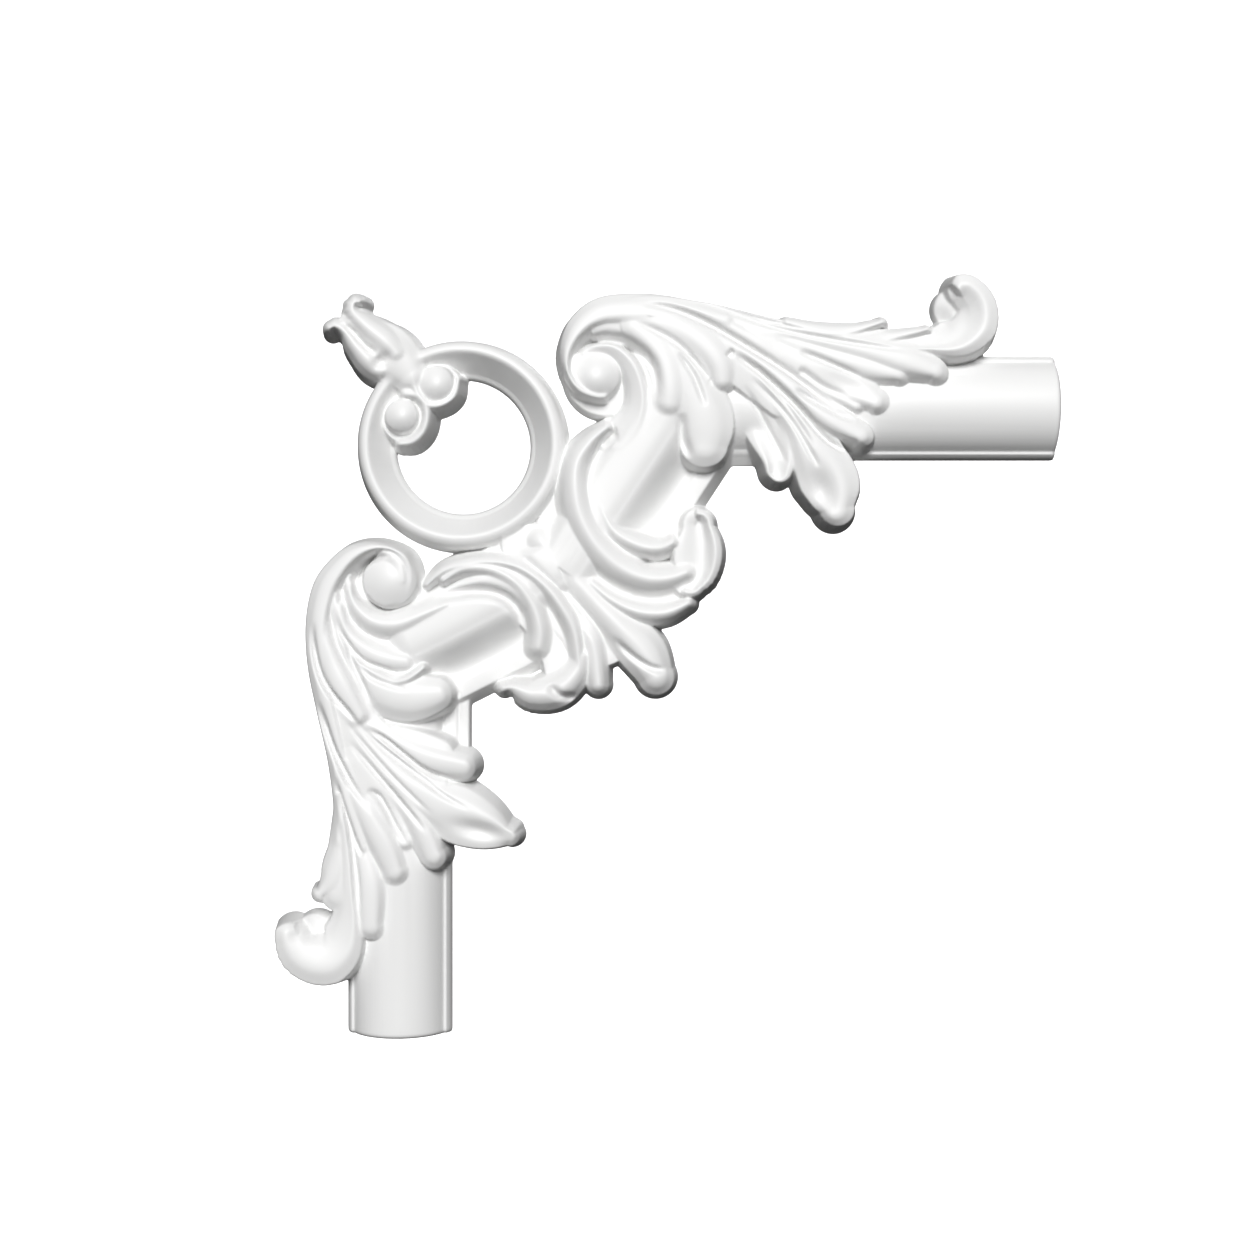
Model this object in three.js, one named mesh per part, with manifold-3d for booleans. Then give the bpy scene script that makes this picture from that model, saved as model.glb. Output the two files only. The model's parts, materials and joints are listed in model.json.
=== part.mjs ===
import * as THREE from "three";
import { mergeVertices } from "three/addons/utils/BufferGeometryUtils.js";
import Module from "manifold-3d";

// Moulding corner: one cast piece that turns a wall moulding inwards round a ring, under two leaves.
// The flat back lies on the wall at y = 0, the carving faces -y, and z is up.

// Driving sizes, in millimetres
const ORNAMENT_SPAN = 270; // from the scroll at the foot of the left leaf to the scroll of the right leaf
const RELIEF = 23; // the highest carving above the wall
const DRAFT = 1.2; // how far a wall leans back from its foot to its top
const ARM_DOWN = 169.6; // from the origin to the lower end
const ARM_RIGHT = 174.2; // from the origin to the right end
const RUN_HEIGHT = 13.8;
const DOME_WIDTH = 32;
const DOME_RADIUS = 19.8;
const QUIRK_WIDTH = 0.8; // the steep step between the dome and the fillet
const QUIRK_DEPTH = 0.4; // how far it cuts in below the fillet
const FILLET_WIDTH = 2.7;
const FILLET_HEIGHT = 4.4;
const EDGE_LEAN = 0.5; // how far the run's side leans in from its foot to its fillet
const LEFT_STEP_WIDTH = 7.5; // how much wider the vertical run is beside the corner
const RIGHT_STEP_WIDTH = 2.5; // how much wider the horizontal run is there
const STEP_LENGTH = 44; // how far each step runs along its arm, under the leaf
const LEG_HEIGHT = 17.2; // the ridge of the two slanting legs that scoop round the ring
const LEG_FILLET_HEIGHT = 7.2;
const LEG_COVE_DEPTH = 1.4; // how far the cove dips below the leg's fillet
const LEG_SHOULDER = 4.6; // from the leg's ridge to where it starts to fall
const LEG_SWEEP = 13.8; // from there to the bottom of the cove
const LEG_FILLET_WIDTH = 8.4;
const LEG_EDGE_LEAN = 3.8;
const LEG_BACK_SHOULDER = 8.5; // the same sizes on the side under the scrolls
const LEG_BACK_SWEEP = 8.5;
const LEG_BACK_FILLET_WIDTH = 2.6;
const RING_DIAMETER = 80;
const RING_HOLE = 51;
const RING_HEIGHT = 14.4;
const SINK = 3; // every solid starts this far behind the wall, and the back is then cut flat

// The drawing sheet
// The ornament is laid out on a sheet with SHEET_SPAN units to ORNAMENT_SPAN, x to the right and y down.
// The sheet shows the relief in perspective, from EYE_DISTANCE in front of EYE.
// So a high point is drawn too far out. Heights are in sixtieths of RELIEF.
const SHEET_SPAN = 702;
const SHEET_ORIGIN = [600, 590];
const EYE = [627, 627];
const EYE_DISTANCE = 1640;
const UNIT = ORNAMENT_SPAN / SHEET_SPAN;
const HEIGHT_STEP = RELIEF / 60;
const RUN_DOWN_X = 400.5; // centre line of the vertical run
const RUN_RIGHT_Y = 408.6; // centre line of the horizontal run
const LEFT_LEG = { from: [398, 652], to: [560, 570] };
const RIGHT_LEG = { from: [566, 573], to: [690, 384] };
const RIGHT_RUN_START = 710; // where the plain horizontal run starts, under the right leaf

// Cross-sections of a strand, as shares of its height at the left edge, the middle and the right edge
const ROUND = [0.62, 1, 0.62];
const SOFT = [0.8, 1, 0.8];
const SPOON = [1, 0.76, 1];
const LEFT_HIGH = [0.95, 0.95, 0.6];
const RIGHT_HIGH = [0.6, 0.95, 0.95];

// How much wider than its drawn crest a strand is cut, so that neighbours meet
const FULLNESS = 1.2;

// The ring's face from its hole to its rim, as shares of its width and of its height
const RING_FACE = [
  [0, 0.1],
  [0.06, 0.21],
  [0.16, 0.32],
  [0.59, 0.91],
  [0.7, 1],
  [0.88, 0.88],
  [0.96, 0.67],
  [1, 0.32],
];

// A boss's profile, as shares of its radius and of its height
const BOSS_FACE = [[1, -0.1], [0.96, 0.8], [0.7, 0.94], [0, 1]];

// Limits of a strand
const MOST_ROUND_START = 0.3; // share of its length in its rounded start
const MOST_ROUND_END = 0.4;
const LEAST_TOP = 0.5; // share of its width that its top keeps
const MOST_SHOWN = 0.5; // share of its width that a wall may take

// Fineness of the facets
const WIDE_ACROSS = [-1, -0.6, 0, 0.6, 1];
const NARROW_ACROSS = [-1, 0, 1];
const WIDE_TURNS = [12, 50, 90]; // degrees round the rounded end of a strand
const NARROW_TURNS = [24, 90];
const NARROW = 15; // half-width below which a strand or its end has fewer facets
const STRETCH = 32; // sheet units between two sections of a strand
const DOME_STEPS = 5;
const RING_STEPS = 32;
const BOSS_STEPS = 12;
const LENGTH_STEPS = 60; // divisions that measure a strand's length
const WELD = 1e-4; // millimetres within which corners merge

const wasm = await Module();
wasm.setup();

// A closed geometry as a solid, with only its positions kept and its shared corners merged.
function solidOf(geometry) {
  geometry.deleteAttribute("normal");
  geometry.deleteAttribute("uv");
  const merged = mergeVertices(geometry, WELD);
  return new wasm.Manifold(
    new wasm.Mesh({
      numProp: 3,
      vertProperties: new Float32Array(merged.attributes.position.array),
      triVerts: new Uint32Array(merged.index.array),
    }),
  );
}

const unite = (solids) => solids.reduce((all, next) => all.add(next));

// The true place of a sheet point that is drawn at a height of the carving.
function trueSheet([x, y], height) {
  const share = 1 - (height * HEIGHT_STEP) / UNIT / EYE_DISTANCE;
  return [EYE[0] + (x - EYE[0]) * share, EYE[1] + (y - EYE[1]) * share];
}

const toX = (sheetX) => (sheetX - SHEET_ORIGIN[0]) * UNIT;
const toZ = (sheetY) => (SHEET_ORIGIN[1] - sheetY) * UNIT;

// A value from a short list that is spread evenly over the points of a path, joined by smooth steps.
function spread(values, share) {
  const place = THREE.MathUtils.clamp(share, 0, 1) * (values.length - 1);
  const left = Math.min(Math.floor(place), values.length - 2);
  const before = values[Math.max(left - 1, 0)];
  const after = values[Math.min(left + 2, values.length - 1)];
  const t = place - left;
  const from = values[left];
  const to = values[left + 1];
  const startSlope = (to - before) / 2;
  const endSlope = (after - from) / 2;
  const bend = 3 * (to - from) - 2 * startSlope - endSlope;
  const twist = startSlope + endSlope - 2 * (to - from);
  return from + t * (startSlope + t * (bend + t * twist));
}

// Height across a strand: the parabola through the three shares of its cross-section.
function acrossShare([left, middle, right], v) {
  return middle + ((right - left) / 2) * v + ((left + right) / 2 - middle) * v * v;
}

// Distances along a strand at which a section stands: close together round both ends, even between.
function sectionPlaces(length, bends, startRadius, endRadius) {
  const cap = (radius) =>
    (radius < NARROW ? NARROW_TURNS : WIDE_TURNS).map(
      (degrees) => radius * (1 - Math.cos(THREE.MathUtils.degToRad(degrees))),
    );
  const start = cap(startRadius);
  const end = cap(endRadius).map((back) => length - back).reverse();
  const inner = end[0] - startRadius;
  const count = Math.max(bends, Math.round(inner / STRETCH));
  const between = Array.from({ length: count - 1 }, (_, i) => startRadius + (inner * (i + 1)) / count);
  return [...start, ...between, ...end];
}

// Half-width of a rounded end, as a share, at a distance from its tip.
function endShare(distance, radius) {
  const inwards = Math.min(1, Math.max(0, distance) / radius);
  return Math.sqrt(1 - (1 - inwards) ** 2);
}

// How far inside its drawn outline a side or tip stands.
// On those that face the eye the drawing shows the foot of the wall.
function shownWall(point, outwards, height) {
  const towardsEye = new THREE.Vector2(...EYE).sub(point).dot(outwards);
  return Math.max(0, (towardsEye * height * HEIGHT_STEP) / UNIT / EYE_DISTANCE);
}

// A strand: a ribbon of carving that follows a path on the sheet.
// Its half-widths and heights are spread along it, its ends are rounded and its walls lean back by DRAFT.
function strand(section, path, crestWidths, heights) {
  const widths = crestWidths.map((width) => width * FULLNESS);
  const curve = new THREE.SplineCurve(path.map(([x, y]) => new THREE.Vector2(x, y)));
  curve.arcLengthDivisions = LENGTH_STEPS;
  const drawn = curve.getLength();
  const length = drawn - shownWall(curve.getPointAt(1), curve.getTangentAt(1), heights.at(-1));
  const startRadius = Math.min(widths[0], MOST_ROUND_START * length);
  const endRadius = Math.min(widths.at(-1), MOST_ROUND_END * length);
  const draft = DRAFT / UNIT;
  const across = Math.max(...widths) < NARROW ? NARROW_ACROSS : WIDE_ACROSS;
  const positions = [];
  // One point of a section, at a share of the path and to the side of it.
  const point = (share, side, height, lift) => {
    const middle = curve.getPointAt(share);
    const along = curve.getTangentAt(share);
    const aside = new THREE.Vector2(-along.y, along.x).multiplyScalar(Math.sign(side));
    const most = MOST_SHOWN * Math.abs(side);
    const reach = Math.abs(side) - Math.min(shownWall(middle, aside, height), most);
    const [x, y] = trueSheet(middle.clone().addScaledVector(aside, reach).toArray(), height);
    positions.push(toX(x), -lift * HEIGHT_STEP, toZ(y));
  };
  const places = sectionPlaces(length, path.length - 1, startRadius, endRadius);
  for (const place of places) {
    const share = place / drawn;
    const ends = endShare(place, startRadius) * endShare(length - place, endRadius);
    const half = spread(widths, curve.getUtoTmapping(share)) * ends;
    const topShare = (draft + (place * (length - 2 * draft)) / length) / drawn;
    const topWidth = spread(widths, curve.getUtoTmapping(topShare));
    const topHalf = Math.max(topWidth - draft, LEAST_TOP * topWidth) * ends;
    const height = spread(heights, curve.getUtoTmapping(share));
    point(share, -half, height, -SINK / HEIGHT_STEP);
    for (const v of across) {
      point(topShare, v * topHalf, height, height * acrossShare(section, v));
    }
    point(share, half, height, -SINK / HEIGHT_STEP);
  }
  return loft(positions, places.length, across.length + 2);
}

// The closed solid through rows of corners, each row a closed section.
function loft(positions, rows, perRow) {
  const faces = [];
  for (let row = 0; row + 1 < rows; row += 1) {
    for (let k = 0; k < perRow; k += 1) {
      const a = row * perRow + k;
      const b = row * perRow + ((k + 1) % perRow);
      faces.push(a, b, a + perRow, b, b + perRow, a + perRow);
    }
  }
  const last = (rows - 1) * perRow;
  for (let k = 1; k + 1 < perRow; k += 1) {
    faces.push(0, k + 1, k);
    faces.push(last, last + k, last + k + 1);
  }
  return new wasm.Manifold(
    new wasm.Mesh({
      numProp: 3,
      vertProperties: new Float32Array(positions),
      triVerts: new Uint32Array(faces),
    }),
  );
}

// A solid turned about an axis that stands on the wall; its profile is [radius, height] in millimetres.
function turned(profile, [sheetX, sheetY], steps) {
  const geometry = new THREE.LatheGeometry(
    profile.map(([radius, height]) => new THREE.Vector2(radius, height)),
    steps,
  );
  geometry.rotateX(Math.PI);
  geometry.translate(toX(sheetX), 0, toZ(sheetY));
  return solidOf(geometry);
}

// The round boss in the middle of a volute.
function boss(centre, radius, height) {
  const rim = radius * UNIT;
  const top = height * HEIGHT_STEP;
  const face = BOSS_FACE.map(([across, up]) => [rim * across, top * up]);
  return turned([[0, -SINK], [rim, -SINK], ...face], trueSheet(centre, height), BOSS_STEPS);
}

// The rest of a half section beyond its dome or cove: the fillet, the side, and down behind the wall.
function edge(start, width, height, lean) {
  return [
    [start, height],
    [start + width, height],
    [start + width + lean, 0],
    [start + width + lean, -SINK],
  ];
}

// Half of the run's section, from its ridge to one edge, as [distance, height].
function runSection(filletWidth) {
  const domeHalf = DOME_WIDTH / 2;
  const widest = Math.asin(domeHalf / DOME_RADIUS);
  const dome = Array.from({ length: DOME_STEPS + 1 }, (_, i) => {
    const turn = (widest * i) / DOME_STEPS;
    return [DOME_RADIUS * Math.sin(turn), RUN_HEIGHT - DOME_RADIUS * (1 - Math.cos(turn))];
  });
  const quirk = [domeHalf + QUIRK_WIDTH, FILLET_HEIGHT - QUIRK_DEPTH];
  return [...dome, quirk, ...edge(quirk[0], filletWidth, FILLET_HEIGHT, EDGE_LEAN)];
}

// Half of a slanting leg's section: level to its shoulder, then a sweep down to a cove.
function legSection(shoulder, sweep, filletWidth, lean) {
  const low = LEG_FILLET_HEIGHT - LEG_COVE_DEPTH;
  const fall = Array.from({ length: DOME_STEPS + 1 }, (_, i) => {
    const share = i / DOME_STEPS;
    const rise = (1 + Math.cos(Math.PI * share)) / 2;
    return [shoulder + sweep * share, low + (LEG_HEIGHT - low) * rise];
  });
  const fillet = edge(shoulder + sweep + QUIRK_WIDTH, filletWidth, LEG_FILLET_HEIGHT, lean);
  return [[0, LEG_HEIGHT], ...fall, ...fillet];
}

// A straight length of moulding between two sheet points, with a section for each side of its ridge.
function run(from, to, leftHalf, rightHalf) {
  const outline = [
    ...[...rightHalf].reverse().map(([distance, height]) => new THREE.Vector2(-distance, height)),
    ...leftHalf.slice(1).map(([distance, height]) => new THREE.Vector2(distance, height)),
  ];
  const start = new THREE.Vector3(toX(from[0]), 0, toZ(from[1]));
  const end = new THREE.Vector3(toX(to[0]), 0, toZ(to[1]));
  const geometry = new THREE.ExtrudeGeometry(new THREE.Shape(outline), {
    depth: start.distanceTo(end),
    bevelEnabled: false,
  });
  const ahead = end.clone().sub(start).normalize();
  const outwards = new THREE.Vector3(0, -1, 0);
  const aside = new THREE.Vector3().crossVectors(outwards, ahead);
  geometry.applyMatrix4(new THREE.Matrix4().makeBasis(aside, outwards, ahead).setPosition(start));
  return solidOf(geometry);
}

// The moulding that the corner joins: two square-ended runs, and two legs that scoop round the ring.
function moulding() {
  const straight = runSection(FILLET_WIDTH);
  const leftStep = runSection(FILLET_WIDTH + LEFT_STEP_WIDTH);
  const rightStep = runSection(FILLET_WIDTH + RIGHT_STEP_WIDTH);
  const inner = legSection(LEG_SHOULDER, LEG_SWEEP, LEG_FILLET_WIDTH, LEG_EDGE_LEAN);
  const outer = legSection(LEG_BACK_SHOULDER, LEG_BACK_SWEEP, LEG_BACK_FILLET_WIDTH, EDGE_LEAN);
  const lowerEnd = SHEET_ORIGIN[1] + ARM_DOWN / UNIT;
  const rightEnd = SHEET_ORIGIN[0] + ARM_RIGHT / UNIT;
  const stepLength = STEP_LENGTH / UNIT;
  const corner = LEFT_LEG.from[1];
  const head = RIGHT_LEG.to[0];
  return unite([
    run([RUN_DOWN_X, lowerEnd], [RUN_DOWN_X, corner], straight, straight),
    run([RIGHT_RUN_START, RUN_RIGHT_Y], [rightEnd, RUN_RIGHT_Y], straight, straight),
    run([RUN_DOWN_X, corner + stepLength], [RUN_DOWN_X, corner], straight, leftStep),
    run([head, RUN_RIGHT_Y], [head + stepLength, RUN_RIGHT_Y], straight, rightStep),
    run(LEFT_LEG.from, LEFT_LEG.to, outer, inner),
    run(RIGHT_LEG.from, RIGHT_LEG.to, outer, inner),
  ]);
}

// The ring that stands on the corner, its two small volutes and the bud above them.
const RING_SHEET_RADIUS = 104; // the ring's outer radius as drawn
const RING_SEAT = [547, 510]; // where the ring's rim meets the corner
const RING_LEAN = [0.8, 0.6]; // direction from the ring's middle to its seat
const RING_CENTRE = RING_SEAT.map((at, i) => at - (RING_LEAN[i] * RING_DIAMETER) / 2 / UNIT);
const RING_DRAWN_CENTRE = [464, 448];

// A sheet point of the ring's own ornament, which keeps its place on the ring at any diameter.
function onRing([x, y]) {
  const scale = RING_DIAMETER / 2 / UNIT / RING_SHEET_RADIUS;
  return [
    RING_CENTRE[0] + (x - RING_DRAWN_CENTRE[0]) * scale,
    RING_CENTRE[1] + (y - RING_DRAWN_CENTRE[1]) * scale,
  ];
}

function ring() {
  const hole = RING_HOLE / 2;
  const rim = RING_DIAMETER / 2;
  const face = RING_FACE.map(([across, up]) => [hole + (rim - hole) * across, RING_HEIGHT * up]).reverse();
  return turned([[hole, -SINK], [rim, -SINK], ...face, [hole, -SINK]], RING_CENTRE, RING_STEPS);
}

function ringOrnament() {
  const small = (section, path, widths, heights) => strand(section, path.map(onRing), widths, heights);
  return unite([
    boss(onRing([436, 384]), 18, 42),
    boss(onRing([436, 386]), 24, 24),
    boss(onRing([403, 415]), 17, 42),
    boss(onRing([404, 418]), 24, 24),
    small(
      ROUND,
      [[414, 372], [420, 398], [440, 408], [455, 396], [458, 378]],
      [6, 8, 7, 6, 5],
      [38, 38, 38, 36, 34],
    ),
    small(
      ROUND,
      [[424, 404], [428, 424], [416, 441], [399, 444], [384, 434]],
      [6, 8, 7, 6, 5],
      [38, 38, 38, 36, 34],
    ),
    small(
      ROUND,
      [[414, 380], [400, 366], [384, 350], [366, 333], [348, 320]],
      [10, 20, 26, 21, 12],
      [38, 44, 47, 46, 42],
    ),
    small(ROUND, [[402, 350], [378, 330], [358, 320], [353, 306]], [8, 12, 11, 9], [44, 48, 47, 43]),
    small(ROUND, [[384, 380], [362, 360], [347, 332], [329, 330]], [7, 10, 10, 8], [42, 47, 45, 40]),
  ]);
}

// The right leaf: a volute whose band opens into a blade of lobes along the right arm.
function rightLeaf() {
  return unite([
    boss([597, 374], 25, 50),
    boss([604, 364], 40, 26),
    // The blade that the lobes grow from
    strand(SOFT, [[640, 322], [690, 360], [755, 385], [812, 415]], [16, 38, 44, 30], [38, 38, 36, 34]),
    strand(SOFT, [[740, 340], [800, 362], [870, 372]], [24, 32, 20], [38, 38, 36]),
    // The band round the boss, the ribbon inside it and the blade's top edge
    strand(
      ROUND,
      [
        [612, 398], [588, 397], [569, 374], [570, 346], [592, 323],
        [642, 311], [700, 319], [760, 334], [830, 347],
      ],
      [5, 7, 9, 11, 14, 16, 15, 11, 6],
      [42, 46, 50, 50, 50, 48, 45, 43, 40],
    ),
    strand(
      ROUND,
      [[592, 352], [614, 350], [633, 368], [638, 394], [628, 424], [606, 444]],
      [6, 9, 11],
      [42, 48, 46],
    ),
    // Lobes that hang inwards from the volute
    strand(
      RIGHT_HIGH,
      [[618, 318], [652, 336], [680, 365], [698, 402], [704, 430], [702, 468]],
      [10, 16, 24, 30, 22],
      [44, 47, 49, 48, 46],
    ),
    strand(
      ROUND,
      [[612, 322], [645, 335], [668, 362], [674, 392], [664, 419]],
      [10, 16, 18, 16, 11],
      [46, 51, 54, 54, 52],
    ),
    strand(LEFT_HIGH, [[620, 315], [668, 325], [702, 348], [722, 388]], [10, 16, 18, 11], [46, 51, 53, 50]),
    // Lobes that fan out along the arm
    strand(LEFT_HIGH, [[732, 362], [752, 395], [768, 432], [772, 492]], [6, 11, 17, 12], [38, 42, 44, 42]),
    strand(
      SPOON,
      [[730, 352], [770, 388], [802, 428], [824, 475], [837, 530]],
      [6, 12, 21, 33, 12],
      [42, 45, 47, 49, 46],
    ),
    strand(
      ROUND,
      [[690, 322], [735, 350], [800, 398], [848, 428], [873, 442]],
      [8, 11, 14, 18, 13],
      [44, 48, 49, 50, 47],
    ),
    strand(SPOON, [[755, 338], [800, 360], [840, 381], [886, 409]], [8, 14, 18, 10], [42, 46, 48, 46]),
    strand(ROUND, [[765, 328], [830, 347], [890, 366], [946, 382]], [9, 15, 18, 11], [42, 46, 47, 44]),
    strand(SOFT, [[795, 327], [845, 330], [887, 321]], [5, 7, 4], [40, 41, 38]),
    strand(SOFT, [[850, 337], [895, 336], [927, 328]], [5, 7, 4], [39, 40, 37]),
    // The hooked scroll at the leaf's end
    strand(
      ROUND,
      [
        [775, 322], [840, 336], [900, 347], [948, 354], [979, 342],
        [987, 314], [974, 286], [950, 281], [941, 297],
      ],
      [8, 10, 12, 12, 12, 11, 10, 9, 8],
      [42, 42, 42, 42, 42, 43, 44, 43, 40],
    ),
    boss([960, 316], 36, 26),
  ]);
}

// The middle of the corner: two crossing scrolls, and the leaf that hangs between them.
function middleLeaf() {
  return unite([
    strand(SOFT, [[535, 530], [562, 572], [592, 615], [612, 660]], [20, 40, 48, 26], [34, 36, 38, 38]),
    strand(
      ROUND,
      [[612, 424], [585, 450], [577, 490], [588, 530], [618, 563], [655, 577], [690, 570]],
      [8, 14, 18, 19, 20, 18, 12],
      [44, 48, 52, 53, 52, 50, 46],
    ),
    strand(ROUND, [[600, 505], [616, 533], [642, 546], [672, 540]], [6, 10, 12, 8], [44, 47, 47, 43]),
    strand(SPOON, [[680, 584], [702, 564], [705, 536], [697, 512]], [13, 20, 20, 12], [46, 47, 46, 42]),
    strand(ROUND, [[590, 580], [615, 600], [645, 610], [690, 603]], [8, 13, 16, 14], [42, 46, 47, 44]),
    strand(
      ROUND,
      [[545, 545], [576, 580], [606, 614], [640, 650], [664, 692]],
      [14, 16, 19, 26, 20],
      [38, 44, 46, 48, 46],
    ),
    strand(LEFT_HIGH, [[560, 590], [580, 618], [594, 648], [599, 699]], [8, 12, 17, 13], [38, 43, 45, 42]),
    strand(
      ROUND,
      [[455, 562], [485, 559], [520, 566], [550, 592], [571, 632], [580, 678]],
      [6, 8, 11, 9],
      [42, 46, 49, 43],
    ),
    strand(
      ROUND,
      [[432, 589], [455, 571], [485, 570], [515, 588], [534, 618], [533, 662]],
      [7, 11, 14, 14, 11],
      [40, 45, 47, 45, 41],
    ),
    strand(SPOON, [[530, 585], [550, 625], [556, 660], [552, 694]], [12, 17, 20, 16], [36, 40, 42, 40]),
    strand(ROUND, [[576, 655], [566, 688], [540, 701], [499, 693]], [12, 16, 15, 9], [40, 45, 47, 44]),
  ]);
}

// The left leaf: the same idea turned down the vertical arm, with its own lobes.
function leftLeaf() {
  return unite([
    boss([391, 580], 27, 50),
    boss([382, 588], 40, 26),
    // The blade that the lobes grow from
    strand(SOFT, [[330, 600], [350, 650], [385, 680]], [22, 34, 30], [40, 40, 38]),
    strand(SOFT, [[330, 690], [360, 745], [400, 790], [440, 812]], [20, 32, 42, 26], [38, 38, 36, 34]),
    strand(SOFT, [[340, 770], [356, 815], [372, 850]], [16, 26, 16], [36, 36, 34]),
    strand(
      ROUND,
      [
        [408, 598], [416, 574], [402, 551], [376, 547], [350, 560],
        [330, 592], [321, 645], [331, 705], [342, 760], [347, 810],
      ],
      [5, 7, 9, 11, 14, 16, 16, 14, 11, 7],
      [42, 46, 50, 50, 50, 49, 48, 46, 44, 42],
    ),
    strand(
      ROUND,
      [[353, 572], [353, 600], [374, 619], [404, 620], [440, 606]],
      [6, 10, 14, 13, 8],
      [42, 48, 49, 48, 44],
    ),
    strand(ROUND, [[333, 590], [344, 628], [370, 653], [413, 664]], [7, 11, 13, 10], [44, 48, 48, 44]),
    // Lobes that hang inwards from the volute
    strand(
      SPOON,
      [[340, 605], [352, 650], [386, 686], [418, 699], [455, 691]],
      [9, 15, 25, 25, 13],
      [44, 48, 49, 50, 47],
    ),
    strand(ROUND, [[322, 605], [326, 648], [342, 686], [364, 728]], [10, 14, 17, 12], [46, 51, 53, 50]),
    // Lobes that fan out down the arm
    strand(ROUND, [[350, 708], [385, 736], [430, 759], [484, 768]], [7, 11, 17, 13], [40, 43, 45, 43]),
    strand(
      SPOON,
      [[342, 712], [385, 762], [436, 803], [482, 824], [518, 838]],
      [7, 13, 26, 32, 14],
      [42, 45, 48, 50, 46],
    ),
    strand(ROUND, [[345, 735], [385, 780], [420, 822], [440, 867]], [6, 12, 16, 11], [42, 45, 47, 44]),
    strand(SPOON, [[340, 745], [372, 786], [394, 818], [408, 851]], [6, 11, 13, 10], [42, 45, 46, 43]),
    strand(ROUND, [[335, 755], [362, 803], [385, 843], [400, 882]], [7, 13, 18, 12], [42, 45, 47, 44]),
    strand(SOFT, [[330, 750], [347, 800], [363, 858]], [7, 11, 9], [40, 43, 41]),
    strand(ROUND, [[342, 805], [360, 860], [373, 905], [371, 942]], [6, 12, 17, 12], [40, 43, 44, 41]),
    strand(SOFT, [[338, 800], [334, 848], [314, 898]], [6, 11, 9], [40, 41, 37]),
    // The hooked scroll at the leaf's end
    strand(
      ROUND,
      [[341, 790], [350, 850], [354, 910], [354, 950], [322, 976], [290, 960], [286, 930], [302, 920]],
      [8, 11, 13, 12, 12, 11, 9, 8],
      [42, 42, 42, 42, 43, 44, 43, 40],
    ),
    boss([324, 946], 38, 26),
  ]);
}

// The whole casting, cut off flat at the wall
function casting() {
  const whole = unite([moulding(), ring(), ringOrnament(), rightLeaf(), middleLeaf(), leftLeaf()]);
  const wide = 4 * ORNAMENT_SPAN;
  const deep = 2 * SINK;
  const behind = new THREE.BoxGeometry(wide, 2 * deep, wide).translate(0, deep, 0);
  return whole.subtract(solidOf(behind));
}

const { numProp, vertProperties, triVerts } = casting().getMesh();
const geometry = new THREE.BufferGeometry();
const positions = new THREE.InterleavedBuffer(vertProperties, numProp);
geometry.setAttribute("position", new THREE.InterleavedBufferAttribute(positions, 3, 0));
geometry.setIndex(new THREE.BufferAttribute(triVerts, 1));
geometry.computeVertexNormals();

const primedWhite = new THREE.MeshStandardMaterial({
  color: 0xeeeeed,
  roughness: 0.5,
  metalness: 0,
});
const piece = new THREE.Mesh(geometry, primedWhite);
piece.name = "moulding_corner";

const part = new THREE.Group();
part.add(piece);

export default part;
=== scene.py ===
"""The visible casting of a white moulding corner: runs, ring, scrolls and acanthus leaves as one surface.

The carving is a height field over a drawing sheet. Each lobe, scroll and bead is a strand laid into the
field, fine creases are grooves cut into it, and the field is then meshed, closed flat behind and painted.
"""

import json
import logging
import math
from collections.abc import Callable, Sequence
from dataclasses import dataclass
from enum import Enum

import bpy
import numpy as np
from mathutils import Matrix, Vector


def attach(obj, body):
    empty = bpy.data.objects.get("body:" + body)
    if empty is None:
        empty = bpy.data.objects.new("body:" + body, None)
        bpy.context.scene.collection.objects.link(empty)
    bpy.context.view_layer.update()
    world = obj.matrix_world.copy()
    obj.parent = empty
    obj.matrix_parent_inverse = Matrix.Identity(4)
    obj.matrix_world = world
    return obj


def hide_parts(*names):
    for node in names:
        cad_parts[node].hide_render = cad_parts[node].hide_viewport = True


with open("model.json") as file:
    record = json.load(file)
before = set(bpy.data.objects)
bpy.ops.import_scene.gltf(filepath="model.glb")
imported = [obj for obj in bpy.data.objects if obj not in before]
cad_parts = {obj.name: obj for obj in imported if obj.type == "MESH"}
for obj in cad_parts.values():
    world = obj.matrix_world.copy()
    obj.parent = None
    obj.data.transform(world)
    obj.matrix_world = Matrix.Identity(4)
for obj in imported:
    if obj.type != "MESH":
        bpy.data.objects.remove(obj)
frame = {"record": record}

LOG = logging.getLogger("moulding_corner")
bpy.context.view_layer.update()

Point = tuple[float, float]
Station = tuple[float, float, float, float]

FLOOR = -10.0  # height of the empty sheet, in height steps below the wall


def end_of_arm(mount: str, axis: int) -> float:
    """How far a square end lies from the origin along an axis, in metres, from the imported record's mounts."""
    places = {m["name"]: m["pos_m"] for m in frame["record"]["mounts"]}
    return abs(places[mount][axis])


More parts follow.
